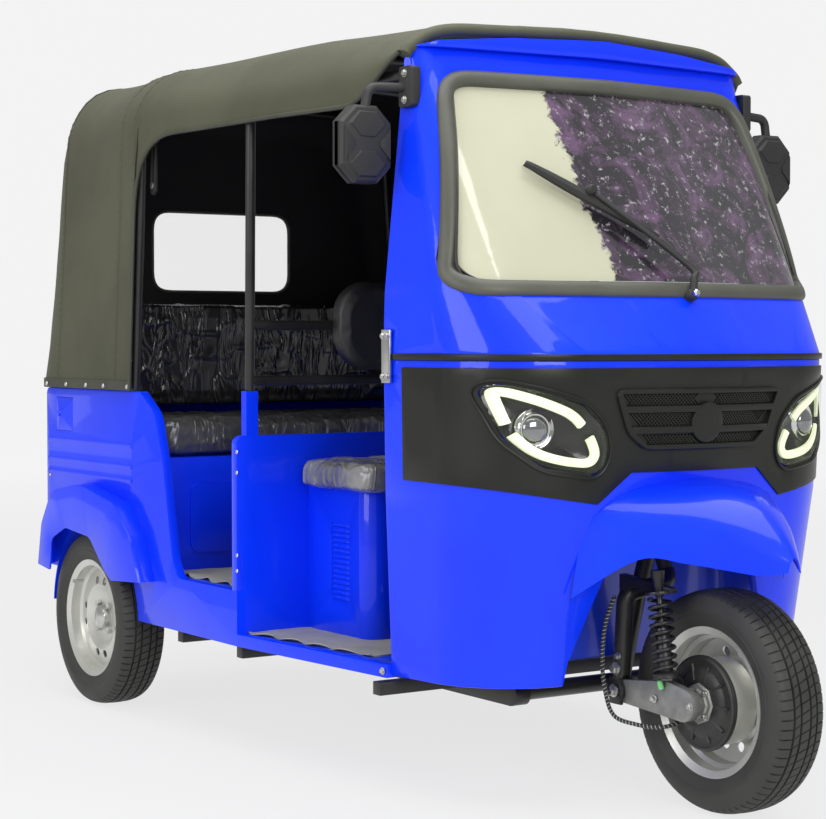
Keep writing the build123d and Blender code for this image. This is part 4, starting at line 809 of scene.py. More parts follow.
def canopy_row(side, hem_back, hem_z, crown_back):
    """Half row from the hem to the crown whose distance back moves from one to the other."""
    made = []
    for i in range(HALF_STEPS + 1):
        u = i / HALF_STEPS
        back = hem_back + (crown_back - hem_back) * (3 * u * u - 2 * u ** 3)
        p = canopy_profile(back, hem_z)[i]
        share = min(1, u * 1.6)
        drop = canopy_sag(back, share) - ripple(side * p.x, back, p.y) * min(1, u * 6)
        inward = drop * (0.7 if u < 0.6 else 0.1)
        down = drop * (0.2 if u < 0.6 else 1.0)
        made.append(at(side * max(p.x - inward, 0), back, p.y - max(down, -3)))
    return made


def whole_row(hem_back, hem_z, crown_back):
    """Row from the right hem over the crown to the left hem."""
    right = canopy_row(-1, hem_back, hem_z, crown_back)
    left = canopy_row(1, hem_back, hem_z, crown_back)
    return right + list(reversed(left[:-1]))


def hem_line():
    """Samples of the canopy's lower edge: (back, level, crown's distance back)."""
    corners = [Vector((b, z, 0)) for b, z in ARCH]
    line = divided(rounded(corners, [0, 60, 215, 0], False, 10), 22)
    lengths = lengths_along(line)
    total = lengths[-1]
    turn = next(d for p, d in zip(line, lengths) if p.x > MIDDLE_CROWN)
    samples = []
    for p, d in zip(line, lengths):
        if d <= turn:
            crown = FRONT_CROWN + (MIDDLE_CROWN - FRONT_CROWN) * d / turn
        else:
            crown = MIDDLE_CROWN + (REAR_CROWN - MIDDLE_CROWN) * (d - turn) / (total - turn)
        samples.append((p.x, p.y, crown))
    steps = 22
    for k in range(1, steps + 1):
        samples.append((QUARTER_BACK + (TAIL_BACK - QUARTER_BACK) * k / steps, HEM_Z,
                        REAR_CROWN + (TAIL_BACK - REAR_CROWN) * k / steps))
    return samples


TAIL_WINDOW = [(-243, 1190), (-243, 1440), (243, 1440), (243, 1190)]
TAIL_WINDOW_Z = 1315


def make_canopy():
    rows = [whole_row(*sample) for sample in hem_line()]
    form = Form()
    form.grid(rows)
    # tail panel, with the window left out
    rim = rows[-1]
    centre = at(0, TAIL_BACK, TAIL_WINDOW_Z)
    window = [at(p.x, TAIL_BACK + 3, p.y) for p in flat_path(TAIL_WINDOW, 60, 12)]
    outer = rim + [rim[-1].lerp(rim[0], k / 30) for k in range(1, 30)]

    def turned_by_angle(loop):
        return sorted(((atan2(p.z - centre.z, p.x - centre.x), p) for p in loop), key=lambda pair: pair[0])

    def meet(loop, angle):
        pairs = turned_by_angle(loop)
        for (a, p), (b, q) in zip(pairs, pairs[1:] + [(pairs[0][0] + 2 * pi, pairs[0][1])]):
            if a <= angle <= b or a <= angle + 2 * pi <= b:
                now = angle if a <= angle <= b else angle + 2 * pi
                return p.lerp(q, (now - a) / (b - a) if b > a else 0)
        return pairs[-1][1]

    angles = [a for a, p in turned_by_angle(outer)]
    rings = []
    for k in range(9):
        share = (k / 8) ** 1.2
        ring = []
        for angle in angles:
            p = meet(outer, angle).lerp(meet(window, angle), share)
            p.y -= ripple(p.x * 1000, p.z * 1300, 0) / 1000 * sin(pi * share) * 0.8
            ring.append(p)
        rings.append(ring)
    form.grid(rings, close_columns=True)
    obj = form.piece("canopy_sheet", [VINYL, LINING], "root", 70, ["canopy"])
    thicken(obj, 0.003, inner_material=1)
    obj.data.shade_smooth()
    obj.data.set_sharp_from_angle(angle=radians(60))
    return rows, window


canopy_rows, window_edge = make_canopy()


def lifted(rows, index):
    """Row of the canopy with the outward direction at each of its points."""
    row = rows[index]
    other = rows[index + 1] if index + 1 < len(rows) else rows[index - 1]
    sign = 1 if index + 1 < len(rows) else -1
    normals = []
    for i, p in enumerate(row):
        across = row[min(i + 1, len(row) - 1)] - row[max(i - 1, 0)]
        normal = across.cross((other[i] - p) * sign).normalized()
        away = p - Vector((0, p.y, 1.2))
        normals.append(normal if normal.dot(away) > 0 else -normal)
    return row, normals


HEM_FOLD = [(-0.014, -0.001), (0.014, -0.001), (0.013, 0.0022), (-0.013, 0.0022)]
SEAM_FOLD = [(-0.0045, -0.001), (0.0045, -0.001), (0.003, 0.0022), (-0.003, 0.0022)]
SEAM_BACKS = (1745, 1835, 2225)
STITCH_PITCH = 0.011


def make_canopy_trim():
    trim = Form()
    # rounded front edge, folded down over the header
    row, normals = lifted(canopy_rows, 0)
    profile = [(0.020 * cos(radians(d)), 0.016 * sin(radians(d)) - 0.012) for d in range(0, 360, 24)]
    trim.band([p + Vector((0, -0.004, 0)) for p in row], normals, profile)
    # welt along the door arches
    for column in (0, -1):
        path = [r[column] for r in canopy_rows]
        last = next(i for i, p in enumerate(path) if p.z < 0.915)
        trim.tube(path[:last + 1], 0.0055, 8, slot=1)
    trim.tube([p + Vector((0, 0.001, 0)) for p in window_edge], 0.006, 8, closed=True, slot=1)
    trim.piece("canopy_trim", [VINYL, HEM], "root", 60)
    # bottom hem, folded double
    hem = Form()
    corner = next(i for i, r in enumerate(canopy_rows) if r[0].z < 0.91)
    for side in SIDES:
        path = [row[0 if side < 0 else -1] + Vector((0, 0, 0.013)) for row in canopy_rows[corner:]]
        hem.band(path, [Vector((side, 0, 0))] * len(path), HEM_FOLD)
    right_end, left_end = canopy_rows[-1][0], canopy_rows[-1][-1]
    back_line = [right_end.lerp(left_end, k / 24) + Vector((0, 0.001, 0.013)) for k in range(25)]
    hem.band(back_line, [Vector((0, 1, 0))] * 25, HEM_FOLD)
    hem.piece("canopy_hem", [HEM], "root", 50)
    # sewn seams over the roof, each with its stitches
    seams = Form()
    stitches = Form()
    for back in SEAM_BACKS:
        path, normals = lifted([whole_row(back, HEM_Z, back), whole_row(back + 5, HEM_Z, back + 5)], 0)
        seams.band(path, normals, SEAM_FOLD)
        line = divided([p + n * 0.0024 for p, n in zip(path, normals)], STITCH_PITCH)
        for a, b in zip(line[::2], line[1::2]):
            stitches.tube([a, a.lerp(b, 0.75)], 0.0007, 5)
    seams.piece("canopy_seams", [VINYL], "root", 60)
    stitches.piece("canopy_stitches", [THREAD], "root", 60)


make_canopy_trim()


# Tyres: four grooves round the tread, slanting cuts in the ribs and slots on the shoulders

TREAD = [
    # across from the middle, radius, depth of a cut here, slant of the cut
    (0, 247, 3.5, 0), (9, 246.9, 3.5, 0.3), (10.5, 246.8, 0, 0.3), (11.5, 240.5, 0, 0.35),
    (15.5, 240.5, 0, 0.4), (16.5, 246.4, 0, 0.45), (18, 246.3, 3.5, 0.5), (28, 245.9, 3.5, 1.0),
    (29.5, 245.8, 0, 1.1), (30.5, 239.8, 0, 1.1), (34.5, 239.6, 0, 1.2), (35.5, 245.0, 0, 1.2),
    (37, 244.7, 3.2, 1.2), (47, 242.2, 4.0, 1.25), (54, 239.4, 4.2, 1.3), (59, 236.0, 3.2, 1.3),
    (61, 232.5, 0, 1.3), (62.5, 229, 0, 1.3), (65.5, 219, 0, 1.3), (67.3, 207, 0, 1.3),
    (67.0, 200, 0, 1.3), (65.5, 195, 0, 1.3), (66.2, 193.5, 0, 1.3), (65.4, 192, 0, 1.3),
    (62, 181, 0, 1.3), (57.5, 172, 0, 1.3), (56.5, 168.5, 0, 1.3), (54.5, 166, 0, 1.3),
    (50, 155, 0, 1.3), (46.5, 153.6, 0, 1.3),
]
PITCHES = 72
# place in a pitch, and 1 where the cut runs
CUT_EDGES = [(0.0, 0), (0.42, 0), (0.46, 1), (0.56, 1), (0.60, 0)]
SLANT_SHARE = 0.55


def make_tyre(name, x_mm, back, body):
    across = [(-x, r, cut, -slant) for x, r, cut, slant in reversed(TREAD[1:])] + TREAD
    step = 2 * pi / PITCHES
    rows = []
    for pitch in range(PITCHES):
        for place, is_cut in CUT_EDGES:
            row = []
            for x, r, cut, slant in across:
                radius = r - (cut if is_cut else 0)
                a = (pitch + place) * step + slant * step * SLANT_SHARE
                row.append(at(x_mm + x, back + radius * sin(a), AXLE_Z + radius * cos(a)))
            rows.append(row)
    form = Form()
    form.grid(rows, close_rows=True)
    form.piece(name + "_tread", [TYRE], body, 35, [name])


WHEELS = [
    ("front_tyre", 0, 0, "front_wheel"),
    ("rear_right_tyre", middle("rear_right_tyre")[0] * 1000, REAR_BACK, "rear_right_wheel"),
    ("rear_left_tyre", middle("rear_left_tyre")[0] * 1000, REAR_BACK, "rear_left_wheel"),
]
for name, x_mm, back, body in WHEELS:
    make_tyre(name, x_mm, back, body)


def ring_places(x_mm, back, radius, count, out):
    """Places on a bolt circle round an axle, facing outwards."""
    angles = [radians(45 + 360 * k / count) for k in range(count)]
    return [(at(x_mm, back + radius * cos(a), AXLE_Z + radius * sin(a)), Vector((out, 0, 0))) for a in angles]


# Turned outlines of (radius, distance along the axis)
HUB_CAP = [(0.033, 0), (0.034, 0.014), (0.031, 0.020), (0.025, 0.022), (0.018, 0.026), (0.0001, 0.027)]
VALVE = [(0.004, 0), (0.004, 0.022), (0.0055, 0.024), (0.0055, 0.032), (0.0001, 0.033)]
HUB_FLANGE = [(0.046, 0), (0.046, 0.012), (0.042, 0.015), (0.034, 0.015), (0.030, 0.019), (0.0001, 0.019)]
DRUM_FACE = [(0.104, 0), (0.1045, 0.003), (0.099, 0.006), (0.092, 0.004), (0.078, 0.004), (0.072, 0.008),
             (0.060, 0.010), (0.040, 0.010)]
DRUM_RIBS = 10


def make_wheel_fittings():
    for side, name in zip(SIDES, ("right", "left")):
        x_mm = side * REAR_WHEEL_X
        body = f"rear_{name}_wheel"
        nuts = ring_places(x_mm + side * 7, REAR_BACK, 50, 4, side)
        scatter(f"lug_nuts_{name}", bolt_form(10, 16), nuts, STEEL, body)
        form = Form()
        out = Vector((side, 0, 0))
        form.turned(HUB_CAP, at(x_mm + side * 10, REAR_BACK, AXLE_Z), out, 40)
        form.turned(VALVE, at(x_mm + side * 36, REAR_BACK + 96, AXLE_Z + 96), out, 12)
        form.piece(f"hub_cap_{name}", [STEEL], body, 40)
    # eight-sided flange and its bolts on the front brake plate
    form = Form()
    out = Vector((-1, 0, 0))
    form.turned(HUB_FLANGE, at(-71, 0, AXLE_Z), out, 8)
    form.turned(DRUM_FACE, at(-71.8, 0, AXLE_Z), out, 64, slot=1)
    for k in range(DRUM_RIBS):
        a = 2 * pi * k / DRUM_RIBS
        inner = at(-80, 52 * cos(a), AXLE_Z + 52 * sin(a))
        outer = at(-77, 88 * cos(a), AXLE_Z + 88 * sin(a))
        form.tube([inner, outer], 0.0035, 8, slot=1)
    form.piece("front_hub_casting", [CAST, HUB_BLACK], "steering", 32)
    scatter("front_hub_bolts", bolt_form(5.5, 8), ring_places(-86, 0, 36, 4, -1), STEEL, "steering")


make_wheel_fittings()


# Front suspension: coil spring, hose with its winding, bolts

SHOCK_FOOT, SHOCK_TOP = at(-132, 50, 300), at(-132, 75, 482)
SPRING_TURNS, SPRING_RADIUS, SPRING_WIRE = 8.5, 0.0235, 0.0046
TURN_POINTS = 24
UPPER_CUP = [(0.010, -0.004), (0.012, 0.030), (0.014, 0.034), (0.016, 0.052), (0.012, 0.054), (0.0001, 0.055)]
LOWER_CUP = [(0.020, 0.0), (0.030, 0.003), (0.031, 0.010), (0.026, 0.014), (0.0162, 0.016), (0.0162, 0.10),
             (0.013, 0.104), (0.0001, 0.105)]


def make_spring():
    length = (SHOCK_TOP - SHOCK_FOOT).length
    axis = (SHOCK_TOP - SHOCK_FOOT).normalized()
    side = Vector((1, 0, 0))
    up = axis.cross(side)
    path = []
    for k in range(int(SPRING_TURNS * TURN_POINTS) + 1):
        share = k / (SPRING_TURNS * TURN_POINTS)
        a = 2 * pi * SPRING_TURNS * share
        along = SHOCK_FOOT + axis * (0.012 + (length - 0.020) * share)
        path.append(along + (side * cos(a) + up * sin(a)) * SPRING_RADIUS)
    form = Form()
    form.tube(path, SPRING_WIRE, 10)
    form.piece("coil_spring", [FRAME], "steering", 60, ["spring"])
    cup = Form()
    cup.turned(UPPER_CUP, SHOCK_TOP, axis, 20)
    cup.turned(LOWER_CUP, SHOCK_FOOT, axis, 28)
    cup.piece("shock_cups", [FRAME], "steering", 40)


HOSE = [
    (-152, 205, 466), (-165, 222, 400), (-165, 232, 320), (-160, 228, 250), (-165, 190, 200),
    (-152, 130, 188), (-128, 85, 186), (-98, 64, 192), (-76, 60, 205),
]


HOSE_RADIUS, WINDING_RADIUS, WINDING_PITCH = 0.0046, 0.0009, 0.009


def make_hose():
    path = through([at(*p) for p in HOSE], 14)
    form = Form()
    form.tube(path, HOSE_RADIUS, 10)
    form.piece("brake_line", [MATTE], "steering", 60, ["brake_hose"])
    fine = divided(path, 0.0012)
    wind = []
    for point, travelled, (side, up) in zip(fine, lengths_along(fine), frames_along(fine)):
        a = 2 * pi * travelled / WINDING_PITCH
        wind.append(point + side * (cos(a) * HOSE_RADIUS) + up * (sin(a) * HOSE_RADIUS))
    winding = Form()
    winding.tube(wind, WINDING_RADIUS, 6)
    winding.piece("brake_line_winding", [WHITE], "steering", 60)


def make_fork_fittings():
    right = Vector((-1, 0, 0))
    places = [(at(-140, 220, 249), right), (at(-138, 215, 300), right)]
    scatter("fork_bolts", bolt_form(11, 14), places, STEEL, "steering")
    small = [(at(-140, 205, 330), right), (at(-132, 90, 249), right), (at(-131, -30, 249), right)]
    scatter("fork_small_bolts", bolt_form(6.5, 9), small, STEEL, "steering")
    form = Form()
    cap = [(0.006, 0), (0.0065, 0.014), (0.005, 0.020), (0.0001, 0.021)]
    form.turned(cap, at(-136, 62, 276), Vector((-0.3, 0, 1)), 14)
    form.piece("bleed_cap", [GREEN], "steering", 50)


make_spring()
make_hose()
make_fork_fittings()


# Headlamps

# outlines of the left lamp and of its lit band in the front view: across and level
LAMP = [
    (509, 937), (480, 948), (398, 927), (316, 902), (262, 850), (249, 787), (276, 746), (400, 765),
    (469, 826),
]
LED_OUTER = [
    (501, 933), (476, 942), (398, 916), (325, 885), (281, 833), (262, 789), (285, 761), (358, 769),
    (417, 787), (460, 825), (477, 860),
]
LED_WIDTH = 19
# share of the band's width, and how far behind the cowl's surface
LED_SECTION = [(0, 8), (0, 1), (0.25, -2), (0.75, -2), (1, 1), (1, 10)]
# stretches of the lit band, as shares of the way round
LED_STRETCHES = [(-0.077, 0.39), (0.43, 0.888)]
LAMP_MIDDLE = (385, 850)
# bowl and cover, as loops moved inwards, drawn towards the middle and set back from the cowl's surface
BOWL_LOOPS = [(0, 1, -5), (0, 0.985, 3), (6, 0.98, 9), (16, 0.92, 22), (20, 0.72, 34), (20, 0.42, 42),
              (20, 0.05, 44)]
COVER_LOOPS = [(0, 1, -6), (10, 0.99, -9), (20, 0.80, -9), (20, 0.5, -9), (20, 0.2, -9), (20, 0.01, -9)]
BEZEL = [(-0.004, -0.006), (0.004, -0.006), (0.003, 0.001), (0, 0.0025), (-0.003, 0.001)]
PROJECTOR_RIM = [(0.047, -0.012), (0.048, 0.004), (0.045, 0.008), (0.041, 0.004), (0.037, 0.006),
                 (0.034, 0.012), (0.031, 0.012)]
LENS_RADIUS, LENS_CROWN = 0.031, 0.016


def inset_loop(points, amount):
    """Closed loop in the front view moved inwards."""
    following = points[1:] + points[:1]
    area = sum(a.x * b.y - b.x * a.y for a, b in zip(points, following))
    turn = 1 if area > 0 else -1
    made = []
    for i, point in enumerate(points):
        run = (following[i] - points[i - 1]).normalized()
        made.append(point + Vector((-run.y, run.x, 0)) * amount * turn)
    return made


def make_headlamp(side, name):
    rim = flat_path([(side * x, z) for x, z in LAMP], 24, 9)
    led = flat_path([(side * x, z) for x, z in LED_OUTER], 30, 7)
    middle_x, middle_z = side * LAMP_MIDDLE[0], LAMP_MIDDLE[1]

    def lamp_loop(inwards, share, sunk):
        made = []
        for p in inset_loop(rim, inwards) if inwards else rim:
            x = middle_x + (p.x - middle_x) * share
            z = middle_z + (p.y - middle_z) * share
            made.append(Vector((x / 1000, on_front(x, z)[0].y + sunk / 1000, z / 1000)))
        return evened(made, 2, True)

    form = Form()
    form.grid([lamp_loop(*loop) for loop in BOWL_LOOPS], close_columns=True)
    form.piece(f"lamp_bowl_{name}", [BOWL], "root", 55, [f"headlamp_{name}"])

    lamp = Form()
    inner = inset_loop(led, LED_WIDTH)
    for start, end in LED_STRETCHES:
        rows = []
        for i in range(int(start * len(led)), int(end * len(led))):
            row = []
            for share, sunk in LED_SECTION:
                p = led[i].lerp(inner[i], share)
                row.append(on_front(p.x, p.y)[0] + Vector((0, sunk / 1000, 0)))
            rows.append(row)
        lamp.grid(rows, close_columns=True)
        lamp.fan(rows[0], flip=True)
        lamp.fan(rows[-1])
    lamp.piece(f"led_band_{name}", [LED], "root", 50)

    bezel = Form()
    path, normals = over_front(inset_loop(rim, -9), 8, True, 2)
    bezel.band(path, normals, BEZEL, True)
    bezel.piece(f"lamp_bezel_{name}", [SATIN], "root", 50)

    eye = Form()
    centre = on_front(side * 398, 847)[0] + Vector((0, 0.040, 0))
    out = Vector((side * 0.28, -1, 0)).normalized()
    dome = [(LENS_RADIUS * cos(radians(d)), 0.010 + LENS_CROWN * sin(radians(d))) for d in range(0, 90, 9)]
    eye.turned(PROJECTOR_RIM, centre, out, 40)
    eye.turned(dome + [(0.0001, 0.010 + LENS_CROWN)], centre, out, 40, slot=1)
    eye.piece(f"projector_{name}", [CHROME, PROJECTOR], "root", 45)

    cover = Form()
    cover.grid([lamp_loop(*loop) for loop in COVER_LOOPS], close_columns=True)
    cover.piece(f"lamp_cover_{name}", [CLEAR], "root", 60)


for side, name in zip(SIDES, ("right", "left")):
    make_headlamp(side, name)


# Grille: woven strips behind the bars and a raised frame

GRILLE = [(236, 929), (201, 838), (157, 804)]
GRILLE_FRAME = [(-0.006, -0.008), (0.006, -0.008), (0.005, 0.004), (0.002, 0.007), (-0.002, 0.007),
                (-0.005, 0.004)]
STRIP = [(-0.0016, -0.001), (0.0016, -0.001), (0.0010, 0.0016), (-0.0010, 0.0016)]
STRIP_STEP = 9
STRIP_REACH = 330
# levels between which the strips run, and the half width of the disc in the middle
STRIP_ROWS = [(812, 832), (850, 881), (899, 923)]
DISC_HALF = 30


def grille_half(z):
    """Half width of the grille's opening at a level."""
    (top_x, top_z), (foot_x, foot_z) = GRILLE[0], GRILLE[-1]
    return foot_x + (z - foot_z) * (top_x - foot_x) / (top_z - foot_z)


def make_grille():
    form = Form()
    outline = [(-x, z) for x, z in GRILLE] + list(reversed(GRILLE))
    frame_path, normals = over_front(flat_path(outline, 16, 10), 9, True, 2)
    form.band(frame_path, normals, GRILLE_FRAME, True)
    for low, high in STRIP_ROWS:
        for lean in (-1, 1):
            for start in range(-STRIP_REACH, STRIP_REACH, STRIP_STEP):
                end = start + lean * (high - low)
                inside = abs(start) < grille_half(low) - 6 and abs(end) < grille_half(high) - 6
                if inside and abs((start + end) / 2) > DISC_HALF:
                    flat = [Vector((start + (end - start) * k / 3, low + (high - low) * k / 3, 0))
                            for k in range(4)]
                    path, facing = over_front(flat, 7, False, 0)
                    form.band(path, facing, STRIP)
    form.piece("grille_weave", [SATIN], "root", 40)


make_grille()


# Wiper: arm, blade with its rubber, pivot nut

BLADE = [(-300, 1428), (-260, 1405), (-223, 1382), (-182, 1358), (-141, 1334), (-84, 1299), (-24, 1262)]
WIPER_PIVOT = [(0.014, -0.03), (0.014, 0.004), (0.011, 0.008), (0.0001, 0.008)]
WIPER_PIN = [(0.012, -0.010), (0.012, 0.010), (0.009, 0.014), (0.0001, 0.014)]
WIPER_NUT = [(0.009, 0), (0.009, 0.008), (0.006, 0.012), (0.0001, 0.0125)]


def make_wiper():
    form = Form()
    foot = on_front(14, 1134, 16)[0]
    elbow = on_front(22, 1184, 34)[0]
    hold = on_front(-167, 1360, 32)[0]
    out = Vector((0, -1, 0.25))
    form.turned(WIPER_PIVOT, foot, out, 20)
    rise = foot.lerp(elbow, 0.6) + Vector((0, -0.008, 0))
    reach = elbow.lerp(hold, 0.5) + Vector((0, -0.006, 0))
    arm = through([foot, rise, elbow, reach, hold], 8)
    form.tube(arm, [0.010 - 0.0045 * k / 32 for k in range(33)], 10)
    blade = through(evened([on_front(x, z, 17)[0] for x, z in BLADE], 2, False), 6)
    last = len(blade) - 1
    form.tube(blade, [0.006 + 0.007 * max(0, sin(pi * k / last)) ** 0.6 for k in range(last + 1)], 8)
    form.tube([p + Vector((0, 0.006, -0.004)) for p in blade], 0.003, 6)
    form.turned(WIPER_PIN, hold, Vector((0, -1, 0.2)), 12)
    form.piece("wiper_arm", [MATTE], "root", 40, ["wiper"])
    nut = Form()
    nut.turned(WIPER_NUT, foot + Vector((0, -0.008, 0.002)), out, 6)
    nut.piece("wiper_nut", [CHROME], "root", 30)


make_wiper()


# Mirrors: faceted backs with a crossed ridge, seen from the front

MIRROR_X, MIRROR_BACK, MIRROR_Z = 613, 530, 1478
MIRROR_EDGE = [(-67, 49), (-29, 87), (29, 87), (67, 49), (67, -49), (29, -87), (-29, -87), (-67, -49)]
MIRROR_PANELS = [
    [(-50, 44), (-24, 74), (24, 74), (50, 44), (20, 14), (-20, 14)],
    [(-50, -44), (-20, -14), (20, -14), (50, -44), (24, -74), (-24, -74)],
    [(-60, 38), (-30, 6), (-30, -6), (-60, -38)],
    [(60, 38), (60, -38), (30, -6), (30, 6)],
]
# share of the outline, and how far out
SHELL_RINGS = [(1.0, -14), (1.0, 8), (0.93, 15), (0.80, 17)]
PANEL_RINGS = [(1.0, 8), (0.97, 19), (0.88, 22.5), (0.4, 23.5), (0.02, 24)]


def make_mirror_backs():
    for side, name in zip(SIDES, ("right", "left")):

        def drawn_in(outline, table):
            """Copies of an outline drawn towards its middle, each at its own height."""
            mx = sum(x for x, z in outline) / len(outline)
            mz = sum(z for x, z in outline) / len(outline)
            return [[at(side * MIRROR_X + mx + (x - mx) * share, MIRROR_BACK - out,
                        MIRROR_Z + mz + (z - mz) * share) for x, z in outline] for share, out in table]

        form = Form()
        for panel in MIRROR_PANELS:
            form.grid(drawn_in(panel, PANEL_RINGS), close_columns=True)
        shell = drawn_in(MIRROR_EDGE, SHELL_RINGS)
        form.grid(shell, close_columns=True)
        form.fan(shell[-1])
        form.piece(f"mirror_back_{name}", [MATTE], "root", 22)


make_mirror_backs()


def crease_points(obj, depth, low_z):
    """Small creases over the cloth, none where it rests on something."""
    normals = [v.normal.copy() for v in obj.data.vertices]
    for vertex, normal in zip(obj.data.vertices, normals):
        p = vertex.co
        if p.z < low_z:
            continue
        wave = noise.noise(p * 16)
        where = Vector((p.x * 9 + 4, p.y * 9, p.z * 12)) + Vector((wave, 0, 0)) * 0.7
        fold = 1 - min(1, abs(noise.noise(where)) * 6)
        vertex.co = p + normal * (fold * depth - depth * 0.3)


CLOTH_FRAMES = 20


def make_cushion(node, material, voxel, cap, depth, fill):
    obj = bpy.data.objects.new(node + "_cover", NODES[node].data.copy())
    bpy.context.scene.collection.objects.link(obj)
    low, high = [Vector(c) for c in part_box(node)]
    centre = (low + high) / 2
    size = high - low
    shrink = Vector([max(0.0, (s - cap * 1.2) / s) for s in size])
    for vertex in obj.data.vertices:
        offset = vertex.co - centre
        vertex.co = centre + Vector(o * k for o, k in zip(offset, shrink))
    remesh = obj.modifiers.new("voxels", "REMESH")
    remesh.mode = "VOXEL"
    remesh.voxel_size = voxel
    bake(obj)
    rest = [v.co.copy() for v in obj.data.vertices]
    cloth = obj.modifiers.new("cloth", "CLOTH")
    cloth.settings.use_pressure = True
    cloth.settings.uniform_pressure_force = 4
    cloth.settings.effector_weights.gravity = 0
    cloth.settings.quality = 5
    cloth.point_cache.frame_start = 1
    cloth.point_cache.frame_end = CLOTH_FRAMES
    for step in range(1, CLOTH_FRAMES + 1):
        bpy.context.scene.frame_set(step)
        bpy.context.view_layer.update()
    bake(obj)
    for vertex, start in zip(obj.data.vertices, rest):
        move = vertex.co - start
        if move.length > cap:
            vertex.co = start + move.normalized() * cap
    bpy.context.scene.frame_set(1)
    smooth = obj.modifiers.new("smooth", "SUBSURF")
    smooth.levels = smooth.render_levels = 1
    bake(obj)
    for vertex in obj.data.vertices:
        vertex.co = Vector([min(max(c, lo), hi) for c, lo, hi in zip(vertex.co, low, high)])
    obj.data.update()
    crease_points(obj, depth, low.z + size.z * 0.12)
    obj.data.materials.clear()
    obj.data.materials.append(material)
    obj.data.shade_smooth()
    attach(obj, "root")
    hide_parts(node)


CUSHIONS = [
    # node, material, voxel size, furthest swell, depth of the creases, fill
    ("passenger_cushion", GREY_WRAPPED, 0.012, 0.016, 0.004, 0.9),
    ("passenger_backrest", WRAPPED, 0.012, 0.012, 0.004, 0.9),
    ("driver_cushion", PALE_WRAPPED, 0.010, 0.012, 0.0035, 0.9),
    ("driver_backrest", SEAT, 0.008, 0.012, 0.0006, 0.95),
]
for cushion in CUSHIONS:
    make_cushion(*cushion)


# Floor mats with wavy edges

MAT_ROWS, MAT_COLUMNS = 31, 61
MATS = [
    # name, level, and for each row k: distance behind the front axle and the two ends across
    ("driver_mat", 301, lambda k: (655 + k * 16.5, -(512 + k * 1.9), -300)),
    ("passenger_mat", 411, lambda k: (1182 + k * 14.5, -562, 562)),
]


def make_mats():
    for name, base_z, row_at in MATS:
        form = Form()
        rows = []
        for back, x_low, x_high in map(row_at, range(MAT_ROWS)):
            row = []
            for k in range(MAT_COLUMNS):
                u = k / (MAT_COLUMNS - 1)
                x = x_low + (x_high - x_low) * u + sin(back * 0.055) * 7 * (1 - u) ** 6
                swell = 1.6 + 1.6 * noise.noise(Vector((x / 60, back / 45, 0)))
                curl = 3.5 * max(0, 1 - u * 18) * (1 + sin(back * 0.06))
                row.append(at(x, back, base_z + swell + curl))
            rows.append(row)
        form.grid(rows)
        obj = form.piece(name, [MAT], "root", 60)
        thicken(obj, 0.003, -0.6)
        tidy(obj, 50)


make_mats()


# Bolts, snaps and small fittings of the body

def make_body_fittings():
    snaps, bolts, domes = [], [], []
    for side in SIDES:
        out = Vector((side, 0, 0))
        for back in (1752, 1905, 2023, 2160, 2299):
            snaps.append((at(side * 614, back, 912), out))
        for z in (760, 708, 500, 461):
            domes.append((at(side * 600, 1149, z), out))
        for z in (640, 520, 400):
            domes.append((at(side * 600, 2310, z), out))
        for dy in (-9, 9):
            for dz in (-46, 46):
                bolts.append((at(side * 560.2, 522 + dy, 1004 + dz), out))
        bolts.append((at(side * 548, 552, 285), out))
        domes.append((at(side * 600, 2238, 826), out))
    for x in range(-500, 501, 100):
        snaps.append((at(x, TAIL_BACK + 4, 914), Vector((0, 1, 0))))
    scatter("canopy_snaps", dome_form(7, 4), snaps, STEEL, "root")
    scatter("body_rivets", dome_form(5.5, 3), domes, STEEL, "root")
    scatter("hinge_bolts", bolt_form(6.5, 6), bolts, STEEL, "root")
    held = [(at(side * 514.5, 512, 1612 + dz), Vector((side, 0, 0))) for side in SIDES for dz in (-30, 30)]
    scatter("mirror_bolts", bolt_form(7, 6), held, STEEL, "root")
    # eyelets of the grab straps
    eyelet = [(0.004, 0), (0.010, 0.001), (0.010, 0.003), (0.004, 0.004)]
    straps = Form()
    for side in SIDES:
        for z in (1462, 1608):
            straps.turned(eyelet, at(side * 558.5, 1700, z), Vector((side, 0, 0)), 20)
    straps.piece("strap_eyelets", [STEEL], "root", 40)


make_body_fittings()


# Louvre hoods of the driver's seat box

LOUVRES, LOUVRE_STEP, LOUVRE_TOP_Z = 15, 13, 575
LOUVRE_FRONT, LOUVRE_LENGTH = 953, 84
LOUVRE_WALL = 390
# share of the hood's reach, and level above the slot
HOOD = [(0, 6.5), (1, 1.5), (1, -1.0), (0, -1.5)]


def make_louvres():
    form = Form()
    for side in SIDES:
        for number in range(LOUVRES):
            z = LOUVRE_TOP_Z - LOUVRE_STEP * number
            rows = []
            for k in range(13):
                u = k / 12
                out = 4.5 * sin(pi * u) ** 0.35
                back = LOUVRE_FRONT + LOUVRE_LENGTH * u
                rows.append([at(side * (LOUVRE_WALL + out * share), back, z + dz) for share, dz in HOOD])
            form.grid(rows, close_columns=True)
    form.piece("louvre_hoods", [BLUE], "root", 50)


make_louvres()


# Stage, light and surroundings

STAGE_HALF = 60
# share of the floor's brightness that is painted as backdrop
BACKDROP_SHARE = 0.86


def seen_or(tree, ray):
    """1 for rays from the camera and for one other kind of ray."""
    path = tree.nodes.new("ShaderNodeLightPath")
    return maths(tree, "MAXIMUM", path.outputs["Is Camera Ray"], path.outputs[ray])


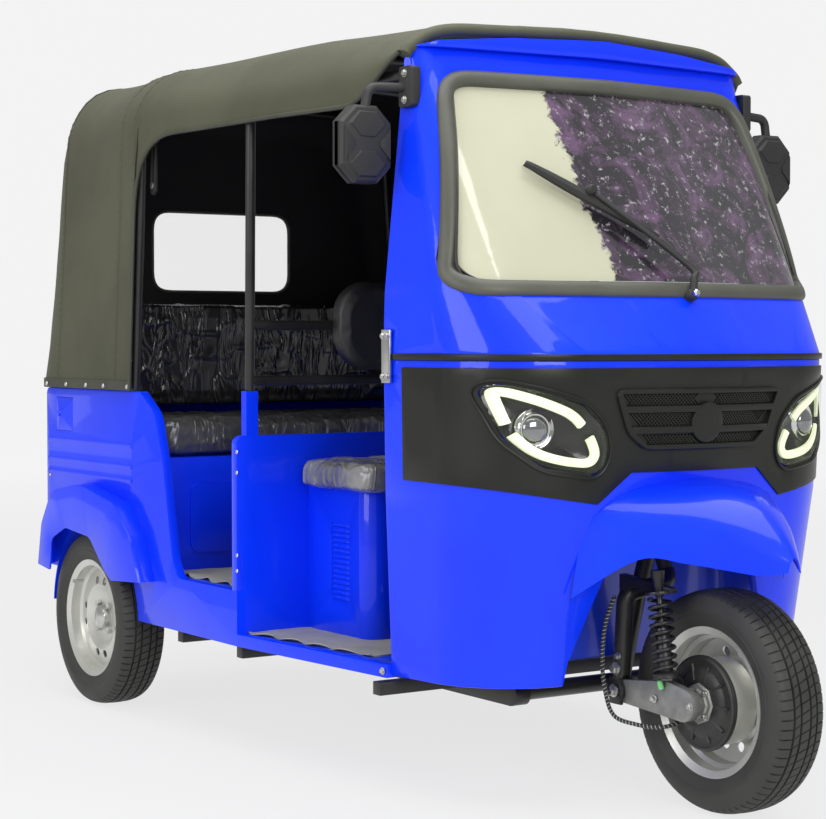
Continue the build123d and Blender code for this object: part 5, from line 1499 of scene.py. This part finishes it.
def make_stage():
    floor = bpy.data.meshes.new("stage_floor")
    corners = [(x * STAGE_HALF, y * STAGE_HALF, 0) for x, y in ((-1, -1), (1, -1), (1, 1), (-1, 1))]
    floor.from_pydata(corners, [], [(0, 1, 2, 3)])
    obj = bpy.data.objects.new("stage_floor", floor)
    bpy.context.scene.collection.objects.link(obj)
    obj.location.z = -0.001
    material = bpy.data.materials.new("stage_floor")
    material.use_nodes = True
    tree = material.node_tree
    tree.nodes.clear()
    diffuse = add(tree, "ShaderNodeBsdfDiffuse", Color=(0.78, 0.78, 0.78, 1))
    place = tree.nodes.new("ShaderNodeTexCoord").outputs["Object"]
    away = add(tree, "ShaderNodeVectorMath", {"operation": "LENGTH"}, i0=place).outputs["Value"]
    level = spread(tree, away, 3.0, 11.0, 0.875, 0.985)
    glow = add(tree, "ShaderNodeEmission", Color=(1, 1, 1, 1), Strength=level)
    share = maths(tree, "MULTIPLY", seen_or(tree, "Is Glossy Ray"), BACKDROP_SHARE)
    mixed = add(tree, "ShaderNodeMixShader", i0=share, i1=diffuse.outputs[0], i2=glow.outputs[0])
    out = tree.nodes.new("ShaderNodeOutputMaterial")
    tree.links.new(mixed.outputs[0], out.inputs[0])
    floor.materials.append(material)

    world = bpy.data.worlds.new("studio")
    bpy.context.scene.world = world
    world.use_nodes = True
    tree = world.node_tree
    tree.nodes.clear()
    soft = add(tree, "ShaderNodeBackground", Color=(1, 1, 1, 1), Strength=0.42)
    plain = add(tree, "ShaderNodeBackground", Color=(0.896, 0.896, 0.896, 1), Strength=1.0)
    seen = seen_or(tree, "Is Transmission Ray")
    mixed = add(tree, "ShaderNodeMixShader", i0=seen, i1=soft.outputs[0], i2=plain.outputs[0])
    out = tree.nodes.new("ShaderNodeOutputWorld")
    tree.links.new(mixed.outputs[0], out.inputs[0])


def area_light(name, place, target, size, power):
    light = bpy.data.lights.new(name, "AREA")
    light.shape = "RECTANGLE"
    light.size, light.size_y = size
    light.energy = power
    obj = bpy.data.objects.new(name, light)
    obj.location = place
    obj.rotation_euler = (Vector(target) - Vector(place)).to_track_quat("-Z", "Y").to_euler()
    bpy.context.scene.collection.objects.link(obj)


make_stage()
area_light("over_light", (-0.5, -0.5, 5.0), (0, 0, 0.8), (5, 5), 260)
area_light("front_light", (-2.0, -6.5, 3.4), (0, -0.5, 0.8), (3.5, 2.5), 210)
area_light("side_light", (-6.5, -0.5, 2.6), (0, 0.2, 0.8), (3.5, 2.5), 130)
